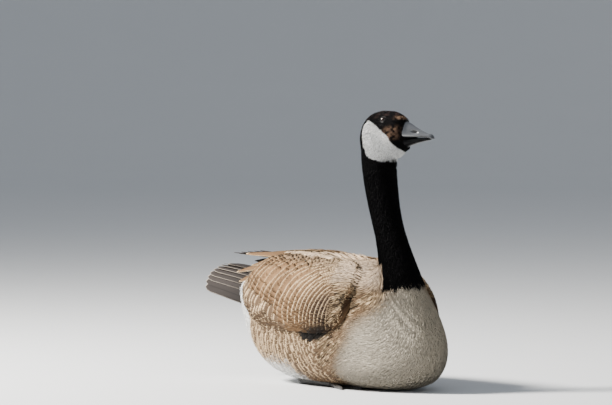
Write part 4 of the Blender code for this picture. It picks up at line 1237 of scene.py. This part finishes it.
def covert_row(reach):
    """The line of a row of covert tips on the wing, laid flat in metres, and the way out across it: an arch
    from the lower edge, at its share of the wing's length, up the side and forward to the bend."""
    top = 0.50 + 0.65 * reach
    power = np.clip(2.1 + 2.5 * (reach - 0.29), 1.8, 3.4)
    turn = np.linspace(0.0, QUARTER, 300)
    u = reach * np.cos(turn) ** (2 / power)
    v = top * np.sin(turn) ** (2 / power)
    v = v - (top - BEND_V) * np.clip(1 - u / (0.2 * reach), 0, 1) ** 2
    line = np.stack([u * WING_LENGTH, v * WING_HEIGHT], -1)
    run = np.gradient(line, axis=0)
    return line, unit(np.stack([run[:, 1], -run[:, 0]], -1))


class GOOSE_OT_wings(bpy.types.Operator):
    """Folded wings: rows of coverts, tertials with pale tips and the crossed wing tips"""

    bl_idname = "goose.wings"
    bl_label = "Wings"

    def execute(self, context):
        look = context.scene.goose_plumage
        bold = plumage_material("covert_feathers", margin_start=0.64, margin_end=0.84, shaft=0.06, shade=0.10,
                                band=0.38, side_share=0.0, tip_power=6.5)
        quill = plumage_material("quill_feathers", margin_start=0.80, margin_end=1.05, streaks=40.0, streak_depth=0.2,
                                 shaft=0.3, shade=0.2, side_share=1.0, side_power=12.0, tip_power=60.0)
        edged = plumage_material("tertial_feathers", margin_start=0.50, margin_end=0.74, streaks=40.0, shaft=0.25,
                                 shade=0.25, side_share=1.0, side_power=5.0, tip_power=20.0)
        for side, seed in (("left", 31), ("right", 37)):
            chance = np.random.default_rng(seed)
            self.base(side, look, skin_material())
            self.coverts(side, look, bold, chance)
            self.tertials(side, look, edged, chance)
            self.primaries(side, look, quill, chance)
        return {"FINISHED"}

    def hump(self, side, u, v):
        """The left wing's rear feathers are ruffled up a little over the back."""
        return (side == "left") * HUMP_HEIGHT * step(0.45, 0.66, u) * step(0.50, 0.80, v)

    def base(self, side, look, material):
        """The folded wing under its feathers, sunk into the body's coat."""
        rows, columns = 60, 30
        u, v = np.meshgrid(np.linspace(0.06, 0.96, rows), np.linspace(0.05, 0.97, columns), indexing="ij")
        outer, _ = wing_points(u, v, self.hump(side, u, v) - COVERT_DEPTH)
        inner = wing_under(u, v, -WING_SUNK)[0]
        points = np.concatenate([outer.reshape(-1, 3), inner.reshape(-1, 3)]) * SIDE_SIGNS[side]
        grid = np.arange(rows * columns).reshape(rows, columns)
        a, b, c, d = (part.ravel() for part in (grid[:-1, :-1], grid[:-1, 1:], grid[1:, 1:], grid[1:, :-1]))
        rim = np.concatenate([grid[0], grid[1:, -1], grid[-1, -2::-1], grid[-2:0:-1, 0]])
        after = np.roll(rim, -1)
        back = grid.size
        quads = np.concatenate([np.stack(corners, -1) for corners in (
            (a, b, c, d), (a + back, d + back, c + back, b + back), (rim, rim + back, after + back, after))])
        if side == "right":
            quads = quads[:, ::-1]
        obj, _ = array_mesh(f"wing_{side}_base", points, quads)
        # painted shadow: the base turns near-black in the hollow under the wing and along its front-lower edge
        painted_shadow = np.maximum(hollow_shadow_share(u, v), peak((u - 0.04) / 0.09, power=2) * step(0.62, 0.45, v))
        color = blend(np.broadcast_to(look.covert, (*u.shape, 3)), WING_BACK_SKIN, step(0.45, 0.75, v))
        color = np.tile(blend(color, WING_SHADOW_SKIN, painted_shadow).reshape(-1, 3), (2, 1))
        add_tint(obj.data, color, np.zeros(len(points)))
        use(obj, material, "wing_feathers", f"wing_{side}")

    def covert_tips(self, chance):
        """Tips of all rows of coverts on the wing laid flat, which way each lies, and its growth."""
        tips, lies, sizes = [], [], []
        reach, row = 0.05, 0
        while reach < 0.97:
            grown = min(1.0, 0.25 + reach * 1.4)
            rear = step(0.32, 0.60, reach)
            line, out = covert_row(reach)
            travel = np.concatenate([[0], np.cumsum(np.linalg.norm(np.diff(line, axis=0), axis=1))])
            spacing = 0.0042 + 0.0036 * grown
            at = np.arange(0.0015 + 0.5 * spacing * (row % 2), travel[-1], spacing)
            at = at + chance.normal(0, 0.0004, len(at))
            tip, lie = (np.stack([np.interp(at, travel, part[:, k]) for k in (0, 1)], -1) for part in (line, out))
            stray = (0.0007 + 0.0022 * rear) * np.sin(at / 0.014 + row * 1.7)
            tips.append(tip + lie * (stray + chance.normal(0, 0.0003 + 0.0008 * rear, len(at)))[:, None])
            lies.append(lie)
            sizes.append(np.full(len(at), grown))
            reach += (0.0068 + 0.0062 * grown + 0.0055 * rear) / WING_LENGTH
            row += 1
        return (np.concatenate(part) for part in (tips, lies, sizes))

    def coverts(self, side, look, material, chance):
        """Rows of coverts whose tips line up in arches that come together at the bend of the wing."""
        tip, lie, grown = self.covert_tips(chance)
        u, v = tip[:, 0] / WING_LENGTH, tip[:, 1] / WING_HEIGHT
        crowd = np.clip(np.hypot(tip[:, 0], tip[:, 1] - BEND_V * WING_HEIGHT) / 0.085, 0.30, 1.0)
        kept = (v < 0.985) & (chance.random(len(tip)) < crowd * 1.25)
        kept &= tip[:, 1] > lookup(FLANK_OVER, u) * WING_HEIGHT - 0.012
        kept &= u < lookup(COVERT_ENDS, v)
        tip, lie, grown, crowd = tip[kept], lie[kept], grown[kept], crowd[kept]
        lie = unit(lie + np.array([0.40, -0.10]))
        length = (0.026 + 0.022 * grown) * crowd * chance.uniform(0.93, 1.07, len(tip))
        for axis, inset in ((0, 0.001), (1, 0.0005)):
            room = (tip[:, axis] - inset) / np.maximum(lie[:, axis], 1e-6)
            length = np.minimum(length, np.where(lie[:, axis] > 0, room, 1.0))
        kept = length > 0.0055
        tip, lie, grown, crowd, length = (part[kept] for part in (tip, lie, grown, crowd, length))
        count = len(tip)
        width = (0.0150 + 0.0125 * grown) * np.clip(crowd, 0.5, 1.0) * chance.uniform(0.92, 1.08, count)
        t = np.linspace(0, 1, VANE_STATIONS)
        start = tip - lie * length[:, None]
        path = start[:, None] + (tip - start)[:, None] * t[None, :, None]
        path_u, path_v = path[..., 0] / WING_LENGTH, np.clip(path[..., 1] / WING_HEIGHT, 0.0, 1.0)
        u, v = path_u[:, -1], path_v[:, -1]
        stand = 0.0006 + 0.0004 * chance.random(count)
        lift = -0.0034 * (1 - t[None, :]) ** 1.5 + stand[:, None] * t[None, :] + self.hump(side, path_u, path_v)
        paths, normals = (part * SIDE_SIGNS[side] for part in wing_points(path_u, path_v, lift))
        # painted shade: coverts at the front of the wing are darkened and their margins made fainter
        dark = oval(SHADED_COVERTS, u, v, power=2)
        rear = step(0.30, 0.60, u)
        colors = blend(np.broadcast_to(look.covert, (count, 3)), look.covert_shade, np.clip(1.15 * dark, 0, 1))
        colors = blend(colors, UPPER_COVERT, 0.75 * step(0.60, 0.95, v + 0.10 * step(0.5, 0.2, u)))
        tones = 1 + 0.16 * ripple(paths[:, -1], 0.06, 1.2) + 0.16 * rear * ripple(paths[:, -1], 0.016, 2.6)
        tones = tones + chance.normal(0, 1, count) * (0.05 + 0.05 * rear)
        margins = np.clip(0.92 + chance.normal(0, 0.06, count), 0.5, 1.0) * (1 - 0.45 * dark) * (1 - 0.45 * rear)
        # painted shadow: coverts over the hollow under the wing are darkened
        colors, margins = shade_in_hollow(colors, margins, hollow_shadow_share(u, v), 0.9)
        places = np.stack([np.clip(path_u[:, 0], 0, 1), path_v[:, 0]], -1)
        outline = outline_of(VANE_STATIONS, root=0.6, widest=0.84, tip=0.74)
        piece = feather_mesh(f"wing_{side}_coverts", paths, normals, width, outline, colors, margins, places, tones,
                             thickness=0.0009, columns=5, camber=0.05)
        use(piece, material, "wing_feathers")
        barbs, barb_normals, owner = fringe(paths, normals, width, outline, chance, start=0.80, stray=0.05)
        hue = blend(colors[owner], look.margin, chance.uniform(0.05, 0.75, len(owner)) * margins[owner])
        piece = feather_mesh(f"wing_{side}_covert_fringe", barbs, barb_normals, COVERT_BARB_WIDTH, BARB_OUTLINE,
                             hue, 0.0, places[owner], tones[owner], thickness=BARB_THICKNESS, columns=2, camber=0.0)
        use(piece, material, "wing_feathers")

    def tertials(self, side, look, material, chance):
        """Long feathers with pale tips over the rear of the wing."""
        u, v, tip, width = (np.array(part) for part in zip(*TERTIALS))
        count = len(u)
        root, root_normal = wing_points(u - 0.06, v, -0.003)
        bend_u = np.minimum(1.0, u + 0.20)
        middle, _ = wing_points(bend_u, v, 0.0035 + 0.0006 * np.arange(count) + self.hump(side, bend_u, v))
        tip_normal = unit(wing_points(np.full(count, 0.96), v)[1] * 0.75 + np.array([0, 0, 0.25]))
        t = np.linspace(0, 1, LONG_STATIONS)[None, :, None]
        normals = unit(root_normal[:, None] * (1 - t) + tip_normal[:, None] * t) * SIDE_SIGNS[side]
        paths = bezier(root, middle, tip, LONG_STATIONS) * SIDE_SIGNS[side]
        outline = outline_of(LONG_STATIONS, root=0.6, widest=0.7, tip=0.30)
        tones = chance.uniform(0.85, 1.1, count)
        piece = feather_mesh(f"wing_{side}_tertials", paths, normals, width * TERTIAL_WIDENING, outline,
                             np.array(look.covert) * 0.55, 1.0, np.stack([u, v], -1), tones,
                             thickness=0.0016, columns=9, camber=0.13)
        use(piece, material, "wing_feathers")

    def primaries(self, side, look, material, chance):
        """The crossed wing tip, longest feather lowest."""
        k = np.arange(PRIMARY_COUNT)
        lift = 0.0012 * k
        root = np.array(PRIMARY_ROOT) + np.stack([0 * k, 0 * k, lift * 0.6 - 0.004], -1)
        tip_y = 0.320 - 0.0135 * k + chance.normal(0, 0.001, PRIMARY_COUNT)
        tip = np.stack([-0.025 + 0.0050 * k, tip_y, TIP_HEIGHTS[side] + lift], -1)
        middle = (root + tip) / 2 + np.array([0.012, 0, 0.004])
        paths = bezier(root, middle, tip, LONG_STATIONS) * SIDE_SIGNS[side]
        normals = np.broadcast_to([0.0, 0.0, 1.0], paths.shape)
        outline = outline_of(LONG_STATIONS, root=0.85, widest=0.72, tip=0.2)
        places = np.stack([np.full(PRIMARY_COUNT, 0.9), k / PRIMARY_COUNT], -1)
        tones = chance.uniform(0.85, 1.15, PRIMARY_COUNT)
        piece = feather_mesh(f"wing_{side}_primaries", paths, normals, PRIMARY_WIDTH, outline, look.quill, 0.5, places,
                             tones, thickness=0.0013, columns=7, camber=0.16)
        use(piece, material, "wing_feathers")


TAIL_FEATHERS = 16
TAIL_FEATHER_WIDTH = 0.0235
TAIL_RIM = (0.36, 0.31, 0.26)  # colour
# Place along Y and height of the middle feathers
TAIL_ROOT = (0.234, 0.176)
TAIL_TIP = (0.383, 0.189)


class GOOSE_OT_tail(bpy.types.Operator):
    """Fan of sixteen dark tail feathers"""

    bl_idname = "goose.tail"
    bl_label = "Tail"

    def execute(self, context):
        look = context.scene.goose_plumage
        chance = np.random.default_rng(51)
        quill = plumage_material("tail_quills", margin_start=0.36, margin_end=0.62, streaks=40.0, streak_depth=0.2,
                                 shaft=0.45, shade=0.45, side_share=1.0, side_power=6.0, tip_power=60.0,
                                 rim_color=TAIL_RIM)
        k = np.arange(TAIL_FEATHERS)
        s = (2 * k + 1) / TAIL_FEATHERS - 1
        root = np.stack([0.045 * s, np.full(TAIL_FEATHERS, TAIL_ROOT[0]), TAIL_ROOT[1] - 0.050 * s * s], -1)
        tip_y = TAIL_TIP[0] - 0.005 * s ** 2 - 0.022 * s ** 6 + chance.normal(0, 0.001, TAIL_FEATHERS)
        tip = np.stack([0.060 * s, tip_y, TAIL_TIP[1] - 0.036 * s * s], -1)
        lift = 0.0045 * (1 - np.abs(s))
        root[:, 2] += lift
        tip[:, 2] += lift * 0.8
        middle = (root + tip) / 2 + np.array([0, 0, 0.003])
        paths = bezier(root, middle, tip, LONG_STATIONS)
        t = np.linspace(0, 1, LONG_STATIONS)[None, :]
        roll = (2.2 - t) * s[:, None] - 0.30 * np.sign(s)[:, None]
        normals = unit(np.stack([roll, 0 * roll, np.ones_like(roll)], -1))
        tones = chance.uniform(0.8, 1.2, TAIL_FEATHERS)
        outline = outline_of(LONG_STATIONS, root=0.8, widest=0.82, tip=0.35)
        places = np.stack([(s + 1) / 2, np.full(TAIL_FEATHERS, 0.02)], -1)
        piece = feather_mesh("tail_feathers", paths, normals, TAIL_FEATHER_WIDTH, outline, look.tail, 0.95, places,
                             tones, thickness=0.0014, columns=7, camber=0.08)
        use(piece, quill, "tail_feathers", "tail")
        return {"FINISHED"}


NOSTRIL = (0.0690, 0.0108)  # forward place and height in the head's frame
NOSTRIL_SLOPE = 0.22
BILL_RINGS = 90
BILL_SIDES = 64
BILL_END_LENGTH = 0.004  # over which the tip rounds off
COMB_PLACES = np.arange(0.056, 0.092, 0.0013)
COMB_INSET = 0.84  # share of the bill's half-width
# Upper and lower end of a tooth: half its length, reach outward and inward, height over the bill's edge
COMB_ENDS = ((0.0004, 0.0004, -0.0006, 0.0012), (0.00025, 0.0002, -0.0003, 0.0001))
BOX_FACES = [(0, 1, 2, 3), (7, 6, 5, 4), (0, 4, 5, 1), (1, 5, 6, 2), (2, 6, 7, 3), (3, 7, 4, 0)]


def bill_ring(place, bottom, top, half_width, squareness, share):
    """One ring of the bill. The share says how far up it is widest."""
    angle = np.arange(BILL_SIDES) * 2 * math.pi / BILL_SIDES
    across, rise = signed_power(np.cos(angle), 2 / squareness), signed_power(np.sin(angle), 2 / squareness)
    widest = bottom + share * (top - bottom)
    z = widest + np.where(rise > 0, top - widest, widest - bottom) * rise
    return np.stack([half_width * across, np.full(BILL_SIDES, -place), z], -1)


def from_nostril(points, half_length, half_height):
    """Distance from the nostril's middle, 1 on an oval of the given half-sizes."""
    ahead = -points[:, 1] - NOSTRIL[0]
    return np.hypot(ahead / half_length, (points[:, 2] - NOSTRIL[1] + NOSTRIL_SLOPE * ahead) / half_height)


def shape_upper(points):
    """Nostrils with a rim, the nail at the tip and the edge of the bill, pressed into a smooth bill."""
    forward, height, side = -points[:, 1], points[:, 2], np.sign(points[:, 0])
    reach = from_nostril(points, 0.0062, 0.0019)
    dent = 0.0042 * peak(reach) - 0.00025 * peak((reach - 1.45) / 0.35, power=2)
    points[:, 0] -= side * dent * step(0.004, 0.007, np.abs(points[:, 0]))
    nail = peak((forward - 0.0975) / 0.0055, points[:, 0] / 0.0052) * step(0.000, 0.003, height)
    groove = peak((forward - 0.0905) / 0.0010, power=2) * peak(points[:, 0] / 0.006) * step(0.002, 0.004, height)
    points[:, 2] += 0.0011 * nail - 0.00045 * groove
    lip = peak((height - 0.0022) / 0.0011, power=2) * step(0.05, 0.06, forward) * (1 - step(0.088, 0.096, forward))
    points[:, 0] += side * 0.00035 * lip
    return points


def shape_lower(points):
    """The shallow channels along the lower mandible."""
    forward, height = -points[:, 1], points[:, 2]
    depth = peak((height + 0.0045) / 0.0010, power=2) * step(0.05, 0.06, forward) * (1 - step(0.082, 0.09, forward))
    points[:, 0] -= np.sign(points[:, 0]) * 0.0005 * depth
    return points


def head_to_world(point):
    return HEAD_PLACE + HEAD_SPIN @ Vector(point)


class GOOSE_OT_bill(bpy.types.Operator):
    """Both mandibles, with nostrils, nail and comb-like edges"""

    bl_idname = "goose.bill"
    bl_label = "Bill"

    def execute(self, context):
        look = context.scene.goose_head
        # painted sheen: the upper mandible's horn is a lit grey copy of the lower one's black
        upper = horn_material("bill_horn", tuple(look.horn_sheen), gloss=0.8, ior=1.8)
        lower = horn_material("bill_horn_dark", tuple(0.05 * part for part in look.horn_sheen), gloss=0.12, ior=1.35)
        self.mandible("bill_upper", UPPER_BILL_SECTIONS, shape_upper, upper, squareness=2.3, share=0.22)
        self.mandible("bill_lower", LOWER_BILL_SECTIONS, shape_lower, lower, squareness=2.2, share=0.72)
        self.combs(lower)
        return {"FINISHED"}

    def mandible(self, node, rows, shape, material, squareness, share):
        """One half of the bill. The upper one's grey horn is painted sheen; it is painted black in the nostrils as
        shade in their hollow, and black along its edge and at its tip.
        """
        first, last = rows[0][0], rows[-1][0] + 0.0003
        places = first + (last - first) * np.sin(QUARTER * np.linspace(0, 1, BILL_RINGS))
        values = curve_through(rows)(np.minimum(places, rows[-1][0]))
        into_end = np.maximum(0, places - (last - BILL_END_LENGTH)) / (BILL_END_LENGTH + 0.0001)
        close = np.sqrt(np.maximum(0.0, 1 - into_end ** 2))
        points = []
        for place, (bottom, top, half), shut in zip(places, values, close):
            middle = (bottom + top) / 2
            edges = (middle + (bottom - middle) * shut, middle + (top - middle) * shut)
            points.append(bill_ring(place, *edges, half * shut, squareness, share))
        points = shape(np.concatenate(points))
        points[:, 1] = np.minimum(points[:, 1], -BILL_EDGE[0] + 0.003 - BILL_EDGE[1] * points[:, 2])
        shade = np.ones(len(points))
        if node == "bill_upper":
            # painted shade in the nostrils; along the edge and at the tip the bill keeps its own black, without the
            # painted sheen
            nostril = peak(from_nostril(points, 0.0075, 0.0025))
            rim = step(0.0045, 0.0015, points[:, 2] - np.repeat(values[:, 0], BILL_SIDES))
            tip = step(0.090, 0.100, -points[:, 1])
            shade = 1 - 0.96 * np.maximum.reduce([nostril, 0.75 * rim, 0.7 * tip])
        obj = tube(f"{node}_horn", np.array([head_to_world(point) for point in points]), BILL_SIDES)
        add_tint(obj.data, np.repeat(shade[:, None], 3, 1), np.ones(len(shade)))
        use(obj, material, "bill_horn", node)

    def combs(self, material):
        """Small teeth along the edges of the mouth, narrower at their lower ends."""
        vertices, faces = [], []
        read = curve_through(UPPER_BILL_SECTIONS)
        for side in (-1, 1):
            for forward in COMB_PLACES:
                bottom, _, half = read(np.array(forward))
                start = len(vertices)
                faces += [tuple(start + n for n in face[::-side]) for face in BOX_FACES]
                x = side * (half * COMB_INSET)
                for length, out, inward, dz in COMB_ENDS:
                    for dy, dx in ((-length, out), (length, out), (length, inward), (-length, inward)):
                        vertices.append(head_to_world((x + side * dx, -forward + dy, bottom + dz)))
        obj = list_mesh("bill_combs", vertices, faces)
        add_tint(obj.data, np.ones((len(vertices), 3)), np.ones(len(vertices)))
        use(obj, material, "bill_horn")


EYE_LOOK = Vector((1.0, -0.28, 0.16)).normalized()  # of the left eye, in the head's frame


class GOOSE_OT_eyes(bpy.types.Operator):
    """Dark glossy eyes set between narrow lids"""

    bl_idname = "goose.eyes"
    bl_label = "Eyes"

    def execute(self, context):
        look = context.scene.goose_head
        eye, lids = eye_material(), lid_material()
        for side, name in ((1, "left"), (-1, "right")):
            centre = head_to_world((side * EYE_PLACE[0], *EYE_PLACE[1:]))
            gaze = HEAD_SPIN @ Vector((side * EYE_LOOK.x, EYE_LOOK.y, EYE_LOOK.z))
            first = gaze.cross(Vector((0, 0, 1))).normalized()
            axes = (gaze, first, first.cross(gaze).normalized())
            self.ball(f"eye_{name}_ball", centre, axes, look.eye_radius, eye, f"eye_{name}")
            self.lid(f"eye_{name}_lids", centre, axes, look, lids)
        return {"FINISHED"}

    def ball(self, name, centre, axes, radius, material, node):
        gaze, first, second = axes
        rows, sides, pole = 28, 40, 0.02
        points = []
        for angle in np.linspace(pole, math.pi - pole, rows):
            for spin in np.arange(sides) * 2 * math.pi / sides:
                out = first * math.cos(spin) + second * math.sin(spin)
                points.append(centre + radius * (gaze * math.cos(angle) + out * math.sin(angle)))
        use(tube(name, np.array(points), sides), material, "eye_surface", node)

    def lid(self, name, centre, axes, look, material):
        """A rim round the opening, a little heavier above."""
        gaze, first, second = axes
        around, sides = 56, 12
        depth = math.sqrt(look.eye_radius ** 2 - look.lid_radius ** 2)
        points = []
        for spin in np.arange(around) * 2 * math.pi / around:
            out = first * math.cos(spin) + second * math.sin(spin)
            thickness = look.lid_thickness * (1 + 0.35 * max(0.0, math.sin(spin)))
            opening = look.lid_radius * (1 - 0.07 * abs(math.sin(spin)))
            for angle in np.arange(sides) * 2 * math.pi / sides:
                ahead = depth + thickness * (0.2 + math.sin(angle))
                points.append(centre + gaze * ahead + out * (opening + thickness * math.cos(angle)))
        use(tube(name, np.array(points), sides, looped=True), material, "head_plumage")


class GOOSE_OT_legs(bpy.types.Operator):
    """Dark scaly skin on the tucked legs and webbed feet"""

    bl_idname = "goose.legs"
    bl_label = "Legs"

    def execute(self, context):
        skin = leg_material()
        for name in ("leg_left", "leg_right"):
            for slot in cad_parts[name].material_slots:
                slot.material = skin
        return {"FINISHED"}


FLOOR_CLOUDS = (0.66, 0.67, 0.68)
FLOOR_SIDES = 96
FLOOR_RADIUS = 12.0
BEND_RADIUS = 8.0
BEND_STEPS = 12
WALL_HEIGHT = 14.0
SKY_COLOR = (0.80, 0.86, 0.94)
SKY_STRENGTH = 0.52
SENSOR_WIDTH = 36.0
LENS = 276.8
PICTURE_MIDDLE = (-0.0731, 0.31025)  # place to the right of and above the origin that the camera looks at
LAMP_AIM = Vector((0, 0, 0.2))


class GOOSE_OT_stage(bpy.types.Operator):
    """Floor, soft lights and the camera at the photo's angle"""

    bl_idname = "goose.stage"
    bl_label = "Stage"

    def execute(self, context):
        look = context.scene.goose_stage
        floor = self.dish()
        kit = Kit("floor")
        soft = kit.noise(3.0, 2.0, kit.place())
        floor.data.materials.append(kit.finish(kit.mix(soft * 0.3, look.floor, FLOOR_CLOUDS), 0.85))
        world = bpy.data.worlds.new("studio")
        world.use_nodes = True
        background = world.node_tree.nodes["Background"]
        background.inputs["Color"].default_value = (*SKY_COLOR, 1.0)
        background.inputs["Strength"].default_value = SKY_STRENGTH
        context.scene.world = world
        turn = look.camera_azimuth
        right = Vector((math.cos(turn), math.sin(turn), 0))
        back = Vector((math.sin(turn), -math.cos(turn), 0))
        toward = back * math.cos(look.camera_elevation) + Vector((0, 0, math.sin(look.camera_elevation)))
        camera = new_object("camera", bpy.data.cameras.new("camera"))
        camera.data.sensor_width, camera.data.lens = SENSOR_WIDTH, LENS
        camera.location = toward * look.camera_distance
        middle = right * PICTURE_MIDDLE[0] + toward.cross(right) * PICTURE_MIDDLE[1]
        camera.rotation_euler = (camera.location - middle).to_track_quat("Z", "Y").to_euler()
        context.scene.camera = camera
        key, fill = right * -2.6 + Vector((0, 0, 2.3)), right * 1.4 + toward * 3.0 + Vector((0, 0, 0.8))
        self.lamp("key", key, size=0.9, power=560.0, color=(1.0, 0.965, 0.91))
        self.lamp("fill", fill, size=3.0, power=26.0, color=(0.90, 0.94, 1.0))
        return {"FINISHED"}

    def dish(self):
        """A flat floor that curves up into a wall all round, far behind the goose."""
        bend = [k * QUARTER / BEND_STEPS for k in range(BEND_STEPS + 1)]
        wall = [(FLOOR_RADIUS + BEND_RADIUS * math.sin(turn), BEND_RADIUS - BEND_RADIUS * math.cos(turn))
                for turn in bend]
        points = [(0.0, 0.0, 0.0)]
        faces = [(0, 1 + k, 1 + (k + 1) % FLOOR_SIDES) for k in range(FLOOR_SIDES)]
        for ring, (radius, height) in enumerate([(3.0, 0.0), *wall, (FLOOR_RADIUS + BEND_RADIUS, WALL_HEIGHT)]):
            low, high = len(points) - FLOOR_SIDES, len(points)
            for k in range(FLOOR_SIDES):
                angle, after = 2 * math.pi * k / FLOOR_SIDES, (k + 1) % FLOOR_SIDES
                points.append((radius * math.cos(angle), radius * math.sin(angle), height))
                if ring:
                    faces.append((low + k, high + k, high + after, low + after))
        floor = list_mesh("floor", points, faces)
        floor.data.shade_smooth()
        return floor

    def lamp(self, name, offset, size, power, color):
        """A square lamp that shines on the goose's middle."""
        data = bpy.data.lights.new(name, "AREA")
        data.size, data.energy, data.color = size, power, color
        obj = new_object(name, data)
        obj.location = LAMP_AIM + offset
        obj.rotation_euler = offset.to_track_quat("Z", "Y").to_euler()


class GOOSE_PT_panel(bpy.types.Panel):
    """Lists the steps that make the goose"""

    bl_label = "Goose"
    bl_idname = "GOOSE_PT_panel"
    bl_space_type = "VIEW_3D"
    bl_region_type = "UI"
    bl_category = "Goose"

    def draw(self, context):
        for operator in OPERATORS:
            self.layout.operator(operator.bl_idname)
        for group in (context.scene.goose_plumage, context.scene.goose_head, context.scene.goose_stage):
            box = self.layout.box()
            for name in group.bl_rna.properties.keys():
                if name not in ("rna_type", "name"):
                    box.prop(group, name)


GROUPS = (PlumageSettings, HeadSettings, StageSettings)
OPERATORS = (
    GOOSE_OT_skin,
    GOOSE_OT_head_coat,
    GOOSE_OT_neck_coat,
    GOOSE_OT_body_coat,
    GOOSE_OT_wings,
    GOOSE_OT_tail,
    GOOSE_OT_bill,
    GOOSE_OT_eyes,
    GOOSE_OT_legs,
    GOOSE_OT_stage,
)


def register():
    for item in (*GROUPS, *OPERATORS, GOOSE_PT_panel):
        bpy.utils.register_class(item)
    bpy.types.Scene.goose_plumage = bpy.props.PointerProperty(type=PlumageSettings)
    bpy.types.Scene.goose_head = bpy.props.PointerProperty(type=HeadSettings)
    bpy.types.Scene.goose_stage = bpy.props.PointerProperty(type=StageSettings)


def unregister():
    del bpy.types.Scene.goose_plumage
    del bpy.types.Scene.goose_head
    del bpy.types.Scene.goose_stage
    for item in reversed((*GROUPS, *OPERATORS, GOOSE_PT_panel)):
        bpy.utils.unregister_class(item)


def main():
    register()
    bpy.ops.goose.skin()
    bpy.ops.goose.head_coat()
    bpy.ops.goose.neck_coat()
    bpy.ops.goose.body_coat()
    bpy.ops.goose.wings()
    bpy.ops.goose.tail()
    bpy.ops.goose.bill()
    bpy.ops.goose.eyes()
    bpy.ops.goose.legs()
    bpy.ops.goose.stage()


if __name__ == "__main__":
    main()
